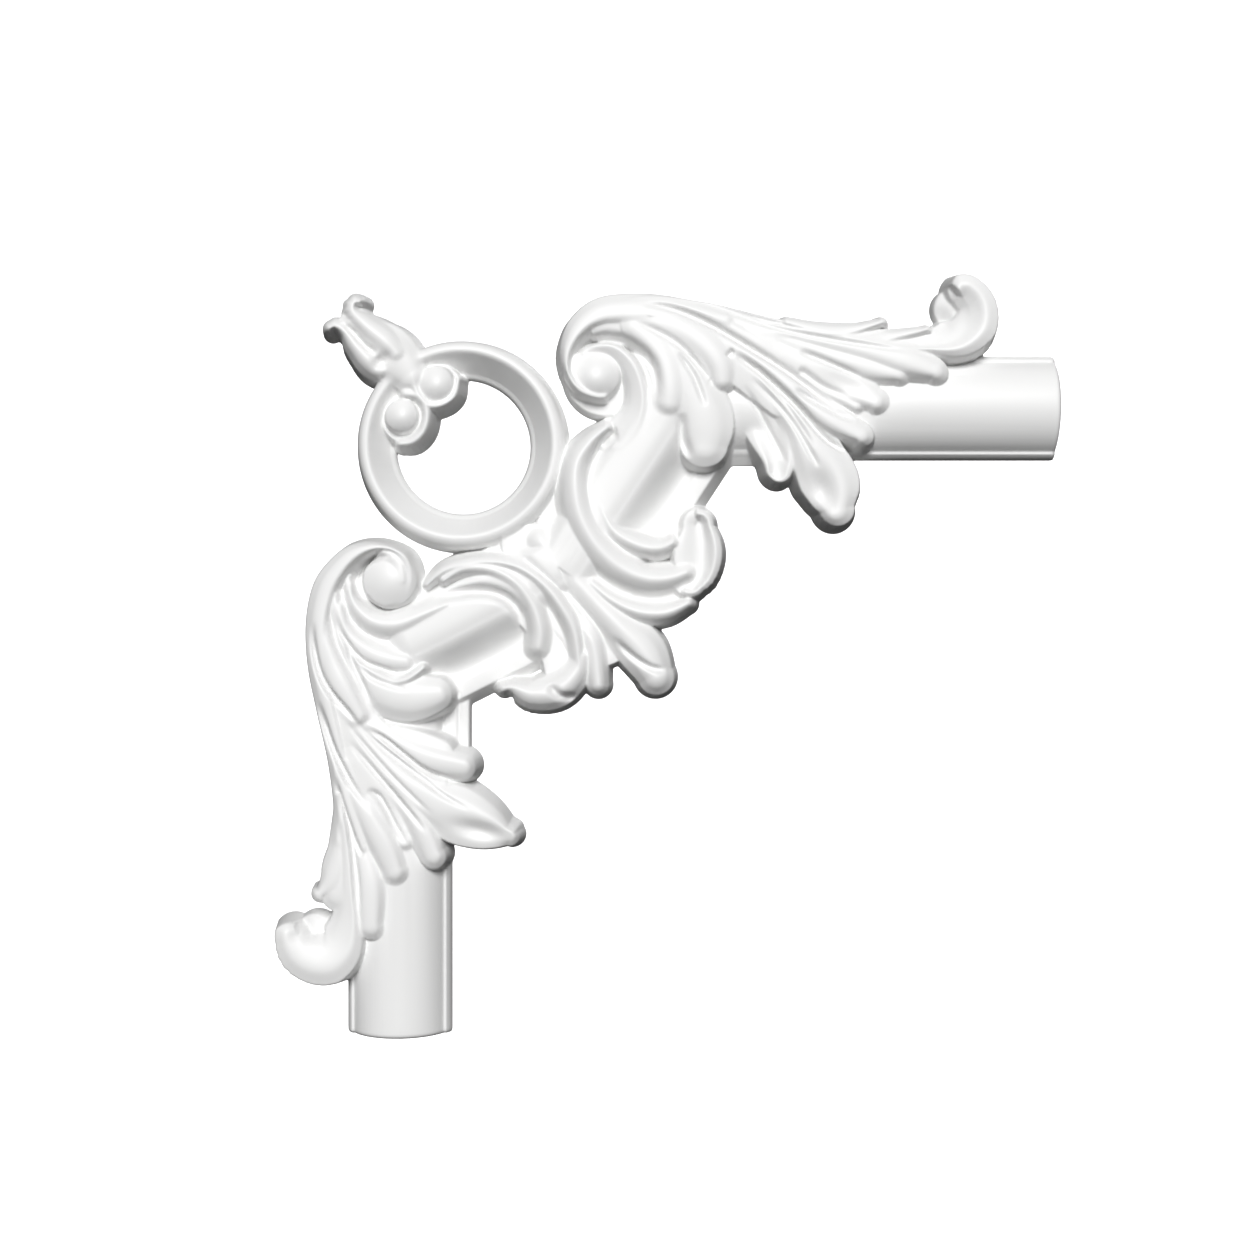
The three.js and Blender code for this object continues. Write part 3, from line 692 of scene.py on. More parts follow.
@dataclass(frozen=True)
class RightLeaf:
    """The right leaf: a volute whose band opens into a blade of lobes along the right arm, up to a scroll."""

    eye: Point = (596.0, 377.0)
    eye_radius: float = 24.0

    def carve(self, field: Carving) -> None:
        """Lays the volute, the hanging lobes, the fanned lobes and the end scroll."""
        for part in (self._volute, self._hanging, self._fan, self._scroll):
            part(field)

    def _volute(self, field: Carving) -> None:
        """Lays the volute's floor, eye, band and inner ribbon."""
        field.work(
            Dish((606, 374), 42, 27, 2),
            Dish((591, 378), 28, 46, 9, 3.0, lies_on=0),
            Strand([(592, 326, 14, 44), (640, 322, 26, 45), (700, 327, 26, 44), (760, 340, 25, 42),
                    (820, 348, 21, 40), (868, 347, 20, 38)], FLAT, melt=4, tip_on=34),
            Strand([(642, 345, 16, 34), (655, 375, 20, 34), (655, 405, 16, 34),
                    (630, 425, 16, 34)], FLAT, melt=4, tip_on=34),
            Strand([(612, 396, 8, 41), (598, 397, 9, 44), (581, 391, 9, 47), (570, 378, 9, 49),
                    (567, 361, 10, 50), (571, 345, 12, 50), (583, 328, 16, 50), (602, 317, 20, 50),
                    (628, 314, 21, 49), (660, 312, 18, 48), (700, 315, 13, 46),
                    (735, 322, 10, 44)], melt=3, lies_on=0, tip_on=40),
            Strand([(582, 356, 5, 40), (592, 350, 8, 42), (607, 349, 9, 44), (620, 356, 10, 45),
                    (631, 370, 11, 46), (637, 390, 12, 46), (636, 410, 14, 45), (626, 430, 18, 43),
                    (604, 452, 18, 40)], Section.LEFT_HIGH, melt=4, tip_on=34),
            Dish(self.eye, self.eye_radius, 50, 13, 1.0),
        )

    def _hanging(self, field: Carving) -> None:
        """Lays the three lobes that hang inwards from the volute."""
        field.work(
            Strand([(625, 318, 16, 48), (655, 336, 24, 49.5), (682, 362, 28, 49),
                    (696, 392, 26, 47)], FLAT, melt=4, tip_on=40),
            Strand([(620, 322, 14, 46), (650, 341, 18, 48), (677, 366, 25, 49.5), (695, 397, 30, 49.5),
                    (704, 428, 31, 48), (702, 463, 18, 44)], melt=3, tip_on=26),
            Strand([(625, 314, 14, 47), (668, 324, 18, 49), (700, 342, 20, 50), (719, 364, 18, 50),
                    (722, 390, 11, 48)], tip_on=40),
            Strand([(622, 322, 12, 45), (643, 336, 16, 49), (659, 354, 18, 51), (668, 374, 18, 52),
                    (670, 394, 18, 52), (667, 416, 15, 50)], melt=4, tip_on=40),
            Groove([(575, 355), (587, 342), (602, 337), (621, 339), (639, 349), (650, 361), (656, 378),
                    (658, 402)], 4.0, 15, 47),
            Groove([(634, 322), (655, 330), (680, 345), (700, 367), (714, 385)], 2.6, 8, 47, 0.5),
            Groove([(678, 352), (694, 376), (706, 408)], 2.6, 4, 47),
            Groove([(682, 412), (683, 436), (692, 458)], 4, 6.4, 46),
        )

    def _fan(self, field: Carving) -> None:
        """Lays the lobes that fan out along the arm."""
        field.work(
            Strand([(660, 322, 20, 46), (712, 342, 26, 46), (762, 374, 28, 44),
                    (806, 408, 26, 43)], FLAT, melt=4, tip_on=38),
            Strand([(740, 340, 24, 43), (800, 362, 28, 42), (862, 378, 18, 40)], FLAT, melt=4, tip_on=38),
            Strand([(748, 370, 12, 38), (758, 400, 22, 37), (769, 432, 24, 39), (776, 462, 20, 42),
                    (773, 488, 15, 41)], Section.SLOPE, Section.SPOON, melt=3),
            Strand([(740, 356, 8, 43), (772, 390, 15, 45), (799, 422, 22, 47), (813, 452, 29, 48),
                    (826, 482, 34, 48), (831, 504, 27, 48), (835, 523, 13, 46)]),
            Strand([(712, 332, 8, 44), (738, 350, 13, 46), (772, 374, 17, 48), (802, 398, 19, 49),
                    (832, 422, 19, 50), (871, 443, 14, 48)], tip_on=14),
            Strand([(772, 344, 8, 42), (800, 360, 17, 44), (828, 376, 22, 46), (856, 391, 20, 48),
                    (884, 408, 12, 46)], tip_on=24),
            Strand([(776, 350, 8, 42), (806, 372, 15, 44), (834, 390, 16, 45),
                    (862, 411, 9, 44)], tip_on=24),
            Strand([(770, 334, 8, 42), (826, 355, 16, 44), (866, 368, 18, 46),
                    (908, 377, 11, 45)], tip_on=24),
            Strand([(770, 328, 8, 43), (832, 342, 15, 45), (872, 352, 18, 47), (908, 363, 20, 48),
                    (945, 376, 12, 46)], tip_on=24),
            Strand([(740, 330, 10, 40), (795, 333, 13, 42), (845, 333, 11, 43), (870, 327, 8, 43),
                    (887, 321, 6, 42)], melt=4, lies_on=30),
            Strand([(820, 342, 10, 40), (880, 340, 11, 42), (912, 334, 8, 42),
                    (931, 329, 5, 40)], melt=4, lies_on=30),
            Dent((822, 490), 12, 20, -20, 11, 46),
            Dent((850, 386), 12, 26, -68, 6, 46),
            Groove([(640, 304), (665, 306), (700, 318), (740, 340), (790, 372), (826, 400),
                    (857, 421)], 3, 9, 48),
            Groove([(734, 352), (765, 375), (795, 403), (825, 437), (852, 453)], 2.8, 10, 46, 0.2),
            Groove([(798, 369), (806, 373), (825, 386), (850, 396)], 3, 5, 46),
            Groove([(800, 350), (830, 362), (862, 376)], 2.4, 6, 46),
            Groove([(795, 388), (812, 399), (835, 412), (858, 421)], 3, 7, 46),
            Groove([(700, 306), (740, 315), (780, 328), (820, 337), (880, 347), (915, 352)], 2.0, 4, 44),
            Groove([(690, 300), (730, 309), (770, 320), (810, 331)], 1.8, 2.5, 44),
            Groove([(750, 376), (775, 400), (795, 425), (812, 455), (820, 468)], 2.4, 4.5, 46),
            Groove([(764, 378), (784, 401), (800, 424), (816, 450)], 1.8, 2.5, 46),
            Groove([(742, 384), (760, 410), (776, 440), (789, 466)], 2.4, 4, 44),
            Groove([(727, 357), (734, 350)], 2.4, 6, 46),
        )

    def _scroll(self, field: Carving) -> None:
        """Lays the hooked scroll at the leaf's end, whose band rolls up into a dished curl."""
        field.work(
            Dish((952, 312), 22, 25, 9, 5.0, lies_on=0),
            Strand([(780, 322, 7, 42), (840, 334, 9, 43), (890, 343, 12, 43), (930, 345, 16, 43),
                    (955, 340, 24, 44), (970, 326, 27, 45), (972, 308, 26, 45), (962, 295, 23, 45),
                    (949, 294, 17, 44)], Section.SOFT, Section.RIGHT_RIM, melt=4, lies_on=24, tip_on=0),
            Dent((946, 316), 8, 12, 0, 7, 38),
        )


@dataclass(frozen=True)
class MiddleLeaf:
    """The middle of the corner: two crossing scrolls and the leaf that hangs between them."""

    recess: Point = (468.0, 584.0)
    recess_radius: float = 30.0

    def carve(self, field: Carving) -> None:
        """Lays the sheet and the hanging lobes, the left scroll, and the right scroll over them."""
        for part in (self._lobes, self._left_scroll, self._right_scroll):
            part(field)

    def _lobes(self, field: Carving) -> None:
        """Lays the leaf that hangs between the scrolls."""
        field.work(
            Strand([(505, 545, 12, 30), (548, 548, 26, 31), (572, 580, 38, 31), (594, 615, 42, 31),
                    (608, 655, 28, 30)], FLAT, melt=6, tip_on=30),
            Strand([(590, 570, 14, 28), (640, 592, 18, 28), (684, 592, 12, 28)], FLAT, melt=5, tip_on=28),
            Strand([(585, 578, 8, 42), (612, 600, 10, 45), (640, 612, 13, 47), (668, 612, 14, 47),
                    (697, 598, 11, 45)], ROUND, melt=1.5, lies_on=28),
            Strand([(530, 530, 16, 40), (562, 566, 19, 43), (595, 602, 19, 45), (620, 628, 22, 47),
                    (644, 654, 27, 47), (663, 693, 18, 45)], ROUND, melt=1.5, lies_on=30),
            Strand([(556, 588, 9, 40), (578, 615, 12, 42), (593, 645, 15, 44),
                    (600, 699, 15, 43)], ROUND, melt=1.5, lies_on=30),
            Groove([(512, 548), (530, 564), (552, 586), (576, 613), (598, 640)], 4, 6, 42),
            Groove([(612, 636), (632, 656), (652, 668), (668, 670)], 3, 7, 46),
        )

    def _left_scroll(self, field: Carving) -> None:
        """Lays the scroll that comes in from the left: outer ridge, inner tube, and the curl at its end."""
        field.work(
            Dish(self.recess, self.recess_radius, 16, 1, 3.0, lies_on=10),
            Groove([(424, 604), (446, 595), (468, 591), (490, 592), (508, 600), (520, 616),
                    (528, 642)], 5, 16, 44),
            Strand([(440, 570, 8, 26), (490, 572, 14, 28), (530, 600, 24, 28), (553, 645, 16, 28),
                    (559, 684, 12, 30)], FLAT, melt=3, tip_on=28),
            Strand([(424, 588, 5, 38), (446, 570, 10, 44), (482, 562, 11, 47), (515, 566, 11, 49),
                    (542, 583, 12, 50), (561, 606, 13, 50), (575, 634, 13, 48),
                    (580, 680, 8, 44)], BEAD, melt=1.5, lies_on=28, tip_on=36),
            Strand([(440, 584, 6, 43), (462, 569, 12, 46), (490, 569, 14, 48), (515, 582, 14, 49),
                    (532, 604, 14, 48), (540, 631, 15, 47),
                    (536, 660, 14, 44)], BEAD, melt=3, lies_on=26, tip_on=32, wall=6),
            Strand([(584, 648, 9, 43), (576, 672, 15, 46), (558, 690, 19, 48), (533, 694, 18, 47),
                    (512, 687, 12, 45), (497, 691, 8, 42)], ROUND, melt=1.5, lies_on=28),
            Groove([(548, 684), (560, 696), (578, 697)], 4, 8, 44),
        )

    def _right_scroll(self, field: Carving) -> None:
        """Lays the scroll that comes down from the right: its band, inner curl and end petal."""
        field.work(
            Groove([(598, 440), (606, 434), (618, 430)], 6, 12, 42),
            Strand([(612, 424, 7, 44), (592, 440, 13, 48), (577, 463, 18, 51), (575, 490, 20, 53),
                    (581, 518, 21, 54), (596, 545, 22, 54), (618, 566, 22, 53), (645, 578, 20, 52),
                    (670, 578, 17, 50), (697, 568, 12, 46)], BEAD, melt=1.5, lies_on=28, tip_on=28, wall=6),
            Strand([(598, 500, 6, 44), (613, 530, 10, 48), (638, 545, 12, 50), (660, 548, 11, 49),
                    (678, 539, 7, 45)], ROUND, melt=1.5, tip_on=34),
            Strand([(682, 590, 12, 44), (695, 572, 23, 46), (698, 545, 26, 47),
                    (696, 512, 14, 44)], Section.SCOOP, melt=5, lies_on=30, tip_on=10),
            Dent((647, 560), 5, 4, 0, 10, 48),
        )


@dataclass(frozen=True)
class LeftLeaf:
    """The left leaf: a volute whose band opens into a blade of lobes down the arm, to a scroll."""

    eye: Point = (391.0, 580.0)
    eye_radius: float = 28.0

    def carve(self, field: Carving) -> None:
        """Lays the volute, the hanging lobes, the fanned lobes and the end scroll."""
        for part in (self._volute, self._hanging, self._fan, self._scroll):
            part(field)

    def _volute(self, field: Carving) -> None:
        """Lays the volute's floor, eye, band and two inner ribbons."""
        field.work(
            Dish((376, 592), 44, 28, 2),
            Strand([(334, 620, 22, 36), (332, 665, 24, 36), (345, 710, 22, 36),
                    (352, 755, 18, 36)], FLAT, melt=4, tip_on=34),
            Strand([(406, 600, 5, 40), (412, 580, 7, 46), (408, 563, 9, 49), (400, 553, 10, 50),
                    (386, 548, 9, 50), (370, 549, 10, 50), (354, 557, 13, 50), (340, 572, 16, 50),
                    (329, 592, 18, 50), (322, 625, 17, 50), (322, 665, 15, 48), (331, 710, 15, 46),
                    (341, 760, 14, 44), (345, 810, 12, 42),
                    (342, 850, 11, 40)], melt=3, lies_on=0, tip_on=30),
            Strand([(333, 588, 7, 45), (338, 615, 10, 47), (350, 637, 12, 48), (368, 652, 14, 48),
                    (390, 660, 14, 48), (414, 662, 9, 45)], tip_on=36),
            Strand([(352, 572, 5, 44), (350, 590, 9, 46), (357, 608, 15, 48), (374, 622, 19, 49),
                    (397, 624, 20, 49), (424, 614, 15, 47),
                    (455, 600, 9, 44)], BEAD, melt=2.5, lies_on=34, tip_on=42),
            Strand([(378, 554, 8, 48), (394, 558, 10, 49), (403, 570, 10, 49), (404, 590, 9, 47)], melt=5),
            Dish(self.eye, self.eye_radius, 51, 10, 5.0),
            Groove([(348, 590), (350, 579), (356, 570), (365, 562), (376, 557), (392, 556)], 3.0, 13, 47),
            Groove([(364, 594), (372, 605), (386, 610), (402, 604)], 2.6, 7, 45),
        )

    def _hanging(self, field: Carving) -> None:
        """Lays the two lobes that hang inwards from the volute."""
        field.work(
            Strand([(330, 600, 20, 36), (350, 650, 34, 36), (392, 686, 28, 36)], FLAT, melt=5, tip_on=34),
            Strand([(338, 600, 8, 46), (345, 635, 12, 48), (362, 664, 18, 49), (385, 690, 25, 50),
                    (415, 697, 27, 50), (454, 690, 16, 47)], tip_on=10),
            Strand([(322, 605, 11, 47), (323, 635, 14, 50), (331, 662, 17, 51), (344, 690, 18, 52),
                    (364, 726, 13, 49)], melt=3, tip_on=36),
            Strand([(388, 684, 6, 48), (408, 679, 8, 51), (428, 664, 6, 49)], ROUND, melt=3, tip_on=30),
            Groove([(333, 610), (341, 633), (352, 650), (366, 663), (382, 669), (404, 674)], 2.6, 8, 47),
            Groove([(355, 660), (370, 676), (388, 684), (410, 690)], 2.4, 3.2, 48),
            Groove([(345, 640), (352, 662), (362, 684), (372, 706)], 2.6, 6.4, 48),
        )

    def _fan(self, field: Carving) -> None:
        """Lays the lobes that fan out down the arm."""
        field.work(
            Strand([(340, 690, 20, 43), (362, 735, 28, 44), (400, 784, 38, 43.5),
                    (438, 814, 32, 42)], FLAT, melt=4, tip_on=38),
            Strand([(350, 750, 18, 43), (368, 800, 28, 43), (394, 838, 28, 42)], FLAT, melt=4, tip_on=36),
            Strand([(376, 732, 12, 43), (418, 746, 18, 44), (458, 758, 18, 42)], FLAT, melt=5, tip_on=20),
            Strand([(352, 716, 8, 43), (376, 732, 14, 45), (402, 747, 18, 47), (432, 759, 20, 48),
                    (480, 767, 16, 45)], tip_on=10),
            Strand([(350, 726, 8, 43), (376, 756, 15, 45), (404, 782, 20, 47), (434, 801, 27, 48),
                    (460, 813, 32, 48), (484, 823, 28, 48), (502, 830, 20, 47), (519, 836, 8, 45)]),
            Strand([(352, 738, 8, 42), (376, 768, 13, 44), (402, 799, 16, 46), (421, 826, 18, 46),
                    (440, 867, 14, 44)], tip_on=20),
            Strand([(348, 745, 7, 42), (367, 775, 11, 42), (388, 805, 14, 43),
                    (409, 850, 11, 42)], tip_on=30),
            Strand([(344, 755, 7, 43), (355, 790, 13, 45), (371, 820, 17, 47), (386, 848, 18, 47),
                    (400, 883, 14, 44)], tip_on=24),
            Strand([(334, 752, 6, 41), (342, 785, 10, 43), (352, 815, 13, 44),
                    (364, 858, 11, 42)], tip_on=30),
            Strand([(350, 810, 9, 40), (361, 850, 14, 41), (370, 888, 18, 44),
                    (372, 939, 14, 43)], tip_on=24),
            Strand([(348, 770, 10, 38), (347, 815, 15, 39), (345, 855, 19, 39), (341, 885, 22, 39),
                    (336, 906, 14, 38)], melt=5, wall=11, lies_on=0, tip_on=0),
            Strand([(346, 830, 10, 38), (340, 858, 16, 39), (332, 880, 15, 39),
                    (315, 899, 7, 37)], melt=5, wall=11, lies_on=0),
            Dent((480, 832), 25, 9, 14, 10, 46),
            Dent((400, 815), 7, 26, -24, 4, 44),
            Groove([(313, 620), (313, 645), (318, 670), (328, 690), (348, 713), (361, 728)], 2.8, 9, 48),
            Groove([(318, 700), (323, 720), (331, 745), (339, 763), (350, 783), (374, 814)], 3.0, 9, 44),
            Groove([(364, 727), (382, 738), (401, 753), (422, 769), (442, 778), (468, 783)], 2.6, 9, 46),
            Groove([(352, 718), (378, 744), (402, 764), (424, 781), (446, 797), (472, 811)], 2.0, 4.5, 46),
            Groove([(346, 722), (364, 745), (388, 772), (412, 796), (436, 818)], 2.0, 3, 46),
            Groove([(348, 740), (378, 776), (404, 806), (428, 834)], 2.4, 5, 44),
            Groove([(366, 790), (377, 796), (386, 810), (395, 828), (410, 850)], 3.0, 8, 44),
            Groove([(334, 775), (340, 800), (348, 824), (357, 848), (364, 857)], 2.6, 8, 43),
            Groove([(344, 822), (352, 850), (357, 880), (359, 912)], 2.4, 5, 42),
            Groove([(340, 820), (344, 860), (344, 900)], 2.4, 4, 41),
        )

    def _scroll(self, field: Carving) -> None:
        """Lays the hooked scroll at the leaf's end, whose band rolls up into a dished curl."""
        field.work(
            Dish((320, 931), 22, 28, 8, 5.0, lies_on=0),
            Strand([(340, 790, 6, 41), (347, 850, 9, 42), (349, 890, 12, 43), (349, 920, 18, 43),
                    (342, 944, 26, 44), (325, 955, 31, 45), (305, 949, 29, 45), (297, 934, 22, 45),
                    (304, 924, 16, 44)], Section.SOFT, Section.LEFT_HIGH, melt=4, lies_on=24, tip_on=0),
            Dent((297, 929), 8, 11, 0, 5, 42),
        )


@dataclass(frozen=True)
class PrimedWhite:
    """Factory primer on a smooth casting: satin-matt white with a very fine sprayed texture."""

    colour: tuple[float, float, float] = (0.86, 0.86, 0.855)
    shade: tuple[float, float, float] = (0.80, 0.80, 0.79)
    cloud_scale: float = 14.0
    cloud_detail: float = 3.0
    cloud_limits: tuple[float, float, float] = (0.45, 0.9, 0.35)
    roughness: tuple[float, float] = (0.41, 0.53)
    grain: float = 0.0006
    grain_detail: float = 2.0
    bump: float = 0.12
    bump_share: float = 1.0 / 6.0

    def material(self) -> bpy.types.Material:
        """Builds the paint: slight clouds in the colour, sprayed grain in roughness and bump.

        Returns:
            The material.
        """
        material = bpy.data.materials.new("primed_white")
        material.use_nodes = True
        nodes, links = material.node_tree.nodes, material.node_tree.links
        paint = nodes["Principled BSDF"]
        place = nodes.new("ShaderNodeTexCoord").outputs["Object"]

        def add(kind: str, source: bpy.types.NodeSocket, socket: str, **values: float) -> bpy.types.Node:
            """Adds a node fed by a source.

            Args:
                kind: The node's type, after the common start of its name.
                source: The output that feeds it.
                socket: The input that is fed.
                values: Values of its other inputs, with _ for a space in a name.

            Returns:
                The node.
            """
            node = nodes.new("ShaderNode" + kind)
            links.new(source, node.inputs[socket])
            for name, value in values.items():
                node.inputs[name.replace("_", " ")].default_value = value
            return node

        clouds = add("TexNoise", place, "Vector", Scale=self.cloud_scale, Detail=self.cloud_detail)
        grain = add("TexNoise", place, "Vector", Scale=1.0 / self.grain, Detail=self.grain_detail)
        low, high, most = self.cloud_limits
        soft = add("MapRange", clouds.outputs["Fac"], "Value", From_Min=low, From_Max=high, To_Max=most)
        smooth, rough = self.roughness
        satin = add("MapRange", grain.outputs["Fac"], "Value", To_Min=smooth, To_Max=rough)
        depth = self.grain * self.bump_share
        bump = add("Bump", grain.outputs["Fac"], "Height", Strength=self.bump, Distance=depth)
        tint = nodes.new("ShaderNodeMix")
        tint.data_type = "RGBA"
        tint.inputs["A"].default_value = (*self.colour, 1.0)
        tint.inputs["B"].default_value = (*self.shade, 1.0)
        links.new(soft.outputs["Result"], tint.inputs["Factor"])
        links.new(tint.outputs["Result"], paint.inputs["Base Color"])
        links.new(satin.outputs["Result"], paint.inputs["Roughness"])
        links.new(bump.outputs["Normal"], paint.inputs["Normal"])
        return material


@dataclass(frozen=True)
class Casting:
    """The one cast piece: carves the field and turns it into a closed mesh."""

    sheet: Sheet = Sheet()
    fine_cell: float = 0.8
    quick_cell: float = 1.4
    film: float = 0.8
    most_triangles: int = 190_000
    crease_degrees: float = 62.0

    def carve(self) -> Carving:
        """Carves every part of the ornament into one field, and softens it by the thickness of the paint.

        Returns:
            The finished field.
        """
        field = Carving(self.sheet, self.fine_cell)
        for part in (Moulding(), Ring(), LeftLeaf(), RightLeaf(), MiddleLeaf()):
            part.carve(field)
            LOG.info("carved %s", type(part).__name__)
        field.z = field.blurred(self.film)
        return field

    def build(self) -> bpy.types.Object:
        """Builds the piece, thins it to its triangle limit and shades it smooth between its sharp edges.

        Returns:
            The piece's object.
        """
        field = self.carve()
        points, faces = self._surface(field)
        mesh = bpy.data.meshes.new("corner_casting")
        mesh.from_pydata(points, [], faces)
        piece = bpy.data.objects.new("corner_casting", mesh)
        bpy.context.scene.collection.objects.link(piece)
        self._thin(piece)
        piece.data.shade_smooth()
        piece.data.set_sharp_from_angle(angle=math.radians(self.crease_degrees))
        piece.data.materials.append(PrimedWhite().material())
        return piece

    def _thin(self, piece: bpy.types.Object) -> None:
        """Thins the mesh to its limit, flat stretches first, and applies the change.

        Args:
            piece: The piece to thin.
        """
        thinner = piece.modifiers.new("thin", "DECIMATE")
        thinner.ratio = min(1.0, self.most_triangles / len(piece.data.polygons))
        thinned = bpy.data.meshes.new_from_object(piece.evaluated_get(bpy.context.evaluated_depsgraph_get()))
        piece.modifiers.clear()
        piece.data = thinned

    def _surface(self, field: Carving) -> tuple[np.ndarray, np.ndarray]:
        """The closed surface over the part of the field that rises above the sheet.

        Each cell is two triangles. A triangle that the sheet cuts is clipped where the height along its sides
        passes 0. The back is the same triangles laid flat and turned over, and walls close the square ends.

        Args:
            field: The carved field.

        Returns:
            Points in metres and triangles.
        """
        rows, columns = field.z.shape
        z = field.z.ravel()
        index = np.arange(rows * columns).reshape(rows, columns)
        a, b, c, d = index[:-1, :-1], index[:-1, 1:], index[1:, :-1], index[1:, 1:]
        halves = [np.stack(corners, -1).reshape(-1, 3) for corners in ([a, c, b], [b, c, d])]
        triangles = np.concatenate(halves)
        high = z[triangles] > 0
        count = high.sum(1)
        whole = triangles[count == 3]
        one = self._turned(triangles[count == 1], high[count == 1])
        two = self._turned(triangles[count == 2], ~high[count == 2])
        pairs = np.concatenate([one[:, [0, 1]], one[:, [0, 2]], two[:, [1, 0]], two[:, [2, 0]]])
        keys = np.sort(pairs, 1).astype(np.int64)
        cells = rows * columns
        edges, place = np.unique(keys[:, 0] * cells + keys[:, 1], return_inverse=True)
        low, far = edges // cells, edges % cells
        share = (z[low] / (z[low] - z[far]))[:, None]
        x, y = np.meshgrid(field.xs, field.ys)
        plan = np.stack([x.ravel(), y.ravel()], -1).astype(float)
        rims = plan[low] + (plan[far] - plan[low]) * share
        n1, n2 = len(one), len(two)
        p01, p02 = place[:n1], place[n1:2 * n1]
        p10, p20 = place[2 * n1:2 * n1 + n2], place[2 * n1 + n2:]
        used = np.unique(np.concatenate([whole.ravel(), one[:, 0], two[:, 1], two[:, 2]]))
        number = np.zeros(cells, np.int64)
        number[used] = np.arange(len(used))
        rim = len(used)
        front = np.concatenate(
            [
                number[whole],
                np.stack([number[one[:, 0]], rim + p01, rim + p02], -1),
                np.stack([rim + p10, number[two[:, 1]], number[two[:, 2]]], -1),
                np.stack([rim + p10, number[two[:, 2]], rim + p20], -1),
            ]
        )
        flat = rim + len(rims)
        back = np.where(front < rim, front + flat, front)[:, ::-1]
        top = self.sheet.place(plan[used, 0], plan[used, 1], z[used])
        edge = self.sheet.place(rims[:, 0], rims[:, 1], np.zeros(len(rims)))
        under = self.sheet.place(plan[used, 0], plan[used, 1], np.zeros(len(used)))
        walls = self._end_walls(front, rim, flat)
        return np.concatenate([top, edge, under]), np.concatenate([front, back, walls])

    @staticmethod
    def _turned(triangles: np.ndarray, odd: np.ndarray) -> np.ndarray:
        """Triangles turned so that the corner marked as the odd one comes first."""
        start = odd.argmax(1)[:, None]
        return np.take_along_axis(triangles, (start + np.arange(3)) % 3, 1)

    @staticmethod
    def _end_walls(front: np.ndarray, rim: int, flat: int) -> np.ndarray:
        """Walls of the square ends: two triangles from each open edge of the front down to the back.

        Args:
            front: The front's triangles.
            rim: Number of the first point on the rim, where front and back meet.
            flat: How far a back point's number is past its front point's.

        Returns:
            The walls' triangles.
        """
        edges = np.concatenate([front[:, [0, 1]], front[:, [1, 2]], front[:, [2, 0]]])
        size = int(edges.max()) + 1
        code = edges[:, 0] * size + edges[:, 1]
        lonely = edges[~np.isin(code, edges[:, 1] * size + edges[:, 0])]
        lonely = lonely[(lonely < rim).any(1)]
        start, end = lonely[:, 0], lonely[:, 1]
        low_start = np.where(start < rim, start + flat, start)
        low_end = np.where(end < rim, end + flat, end)
        walls = np.concatenate(
            [np.stack([end, start, low_start], -1), np.stack([end, low_start, low_end], -1)]
        )
        distinct = (walls[:, 0] != walls[:, 1]) & (walls[:, 1] != walls[:, 2]) & (walls[:, 0] != walls[:, 2])
        return walls[distinct]


@dataclass(frozen=True)
class Lamp:
    """A square soft light: its place and size in metres, and its power in watts."""

    name: str
    place: tuple[float, float, float]
    size: float
    watts: float


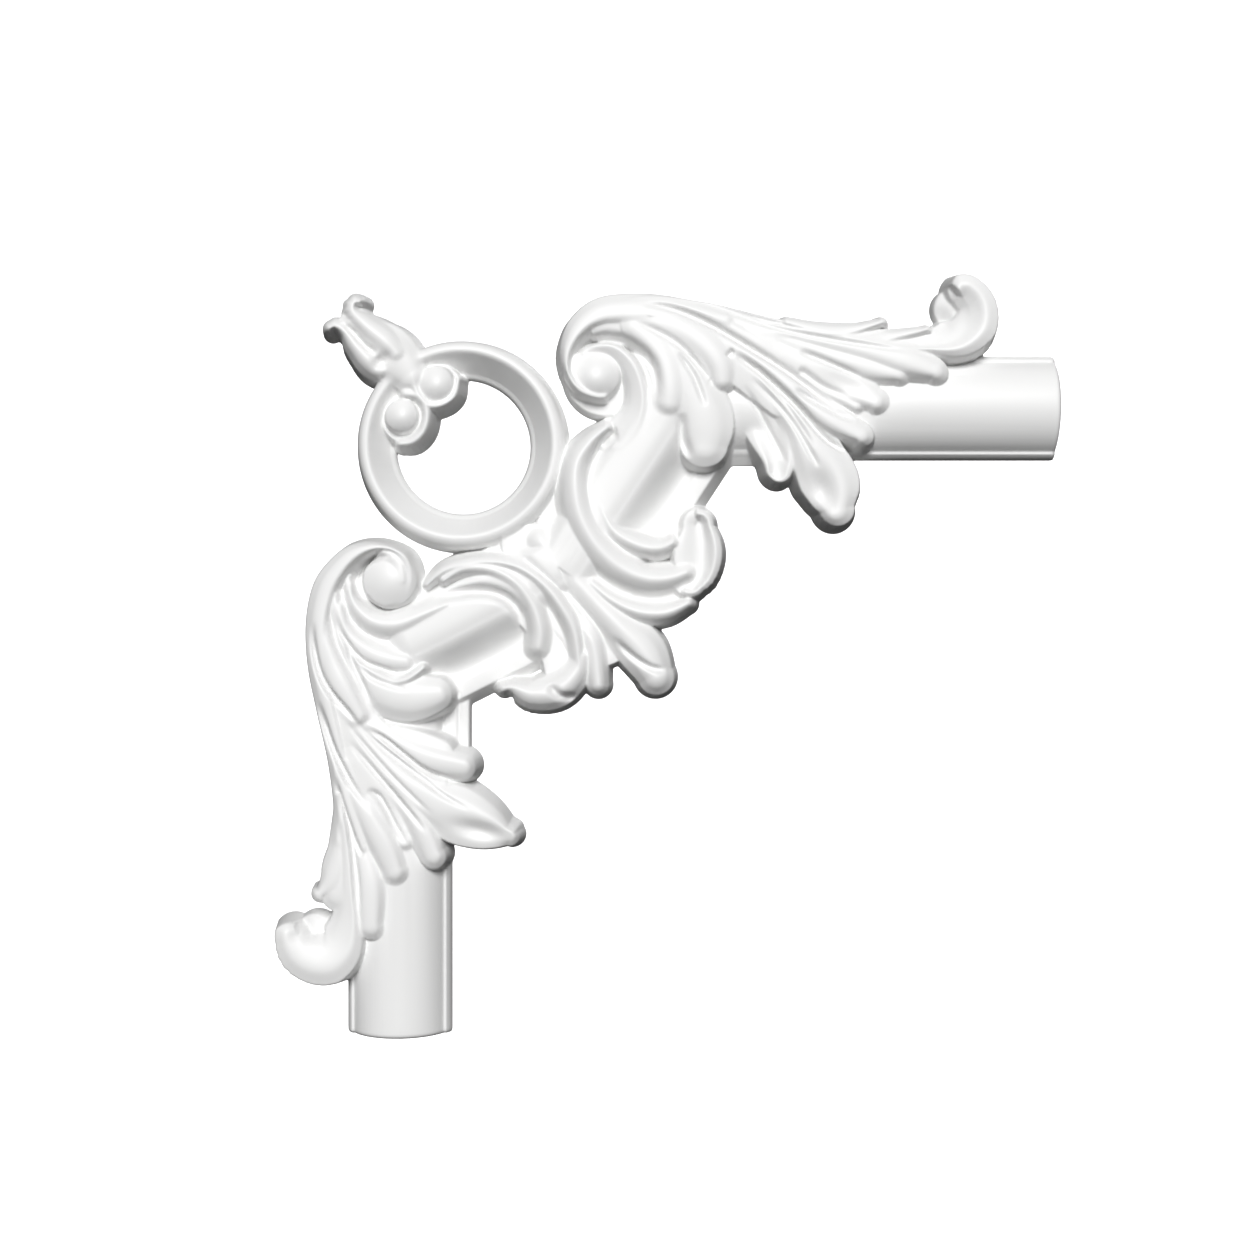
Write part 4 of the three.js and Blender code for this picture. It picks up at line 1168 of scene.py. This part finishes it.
@dataclass(frozen=True)
class Studio:
    """A pale sweep behind and below the piece, a broad light above it and a camera square in front."""

    sheet: Sheet = Sheet()
    lamps: tuple[Lamp, ...] = (
        Lamp("key_light", (-0.05, -6.0, 2.7), 2.2, 460.0),
        Lamp("fill_light", (-0.2, -1.3, -2.3), 1.2, 5.5),
        Lamp("back_light", (0.5, 1.1, 0.7), 0.8, 5.0),
    )
    aim: tuple[float, float, float] = (0.02, 0.0, -0.02)
    sensor: float = 36.0
    near_clip: float = 0.01
    paper: float = 0.9
    paper_glow: float = 0.9
    room_glow: float = 0.05
    floor: float = -0.62
    back: float = 1.3
    front: float = -3.0
    top: float = 3.0
    half_width: float = 3.0
    bend: float = 0.5
    bend_steps: int = 24

    def camera(self) -> None:
        """Sets the camera where the sheet's eye is, with a lens whose view is as wide as the sheet."""
        lens = bpy.data.cameras.new("camera")
        lens.sensor_width = self.sensor
        lens.lens = lens.sensor_width / 2 * self.sheet.eye_distance / self.sheet.eye[0]
        lens.clip_start = self.near_clip
        camera = bpy.data.objects.new("camera", lens)
        aside, down = np.subtract(self.sheet.eye, self.sheet.origin) * self.sheet.unit
        camera.location = (aside, -self.sheet.eye_distance * self.sheet.unit, -down)
        camera.rotation_euler = (math.pi / 2, 0, 0)
        bpy.context.scene.collection.objects.link(camera)
        bpy.context.scene.camera = camera

    def hang(self, lamp: Lamp) -> None:
        """Hangs a light that faces the piece.

        Args:
            lamp: The light's place, size and power.
        """
        area = bpy.data.lights.new(lamp.name, "AREA")
        area.energy = lamp.watts
        area.size = lamp.size
        light = bpy.data.objects.new(lamp.name, area)
        light.location = lamp.place
        light.rotation_euler = (Vector(self.aim) - Vector(lamp.place)).to_track_quat("-Z", "Y").to_euler()
        bpy.context.scene.collection.objects.link(light)

    def sweep(self) -> None:
        """Builds the floor and backdrop as one sweep: flat, a quarter circle, then upright."""
        turn = np.linspace(0, math.pi / 2, self.bend_steps)
        ys = np.concatenate([[self.front], self.back - self.bend + self.bend * np.sin(turn), [self.back]])
        zs = np.concatenate([[self.floor], self.floor + self.bend - self.bend * np.cos(turn), [self.top]])
        sides = [np.stack([np.full_like(ys, x), ys, zs], -1) for x in (-self.half_width, self.half_width)]
        first = np.arange(len(ys) - 1)
        faces = np.stack([first, first + len(ys), first + len(ys) + 1, first + 1], -1)
        mesh = bpy.data.meshes.new("sweep")
        mesh.from_pydata(np.concatenate(sides).tolist(), [], faces.tolist())
        mesh.shade_smooth()
        mesh.materials.append(self.paper_material())
        sweep = bpy.data.objects.new("sweep", mesh)
        sweep.visible_diffuse = sweep.visible_glossy = False
        bpy.context.scene.collection.objects.link(sweep)

    def paper_material(self) -> bpy.types.Material:
        """Matt white paper that glows a little, so that it stays white behind the piece.

        Returns:
            The material.
        """
        paper = bpy.data.materials.new("paper")
        paper.use_nodes = True
        values = paper.node_tree.nodes["Principled BSDF"].inputs
        values["Base Color"].default_value = (self.paper, self.paper, self.paper, 1)
        values["Roughness"].default_value = 0.9
        values["Emission Color"].default_value = (1, 1, 1, 1)
        values["Emission Strength"].default_value = self.paper_glow
        return paper

    def build(self) -> None:
        """Sets up the stage, the lights, the surrounding glow and the camera."""
        self.sweep()
        for lamp in self.lamps:
            self.hang(lamp)
        world = bpy.data.worlds.new("room")
        world.use_nodes = True
        world.node_tree.nodes["Background"].inputs["Color"].default_value = (1, 1, 1, 1)
        world.node_tree.nodes["Background"].inputs["Strength"].default_value = self.room_glow
        bpy.context.scene.world = world
        bpy.context.scene.view_settings.view_transform = "Standard"
        self.camera()


def main() -> None:
    """Builds the stage and the casting."""
    logging.basicConfig(level=logging.INFO, format="%(name)s: %(message)s")
    Studio().build()
    piece = Casting().build()
    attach(piece, "root")
    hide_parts("moulding_corner")
    LOG.info("%s: %d triangles", piece.name, len(piece.data.polygons))


if __name__ == "__main__":
    main()
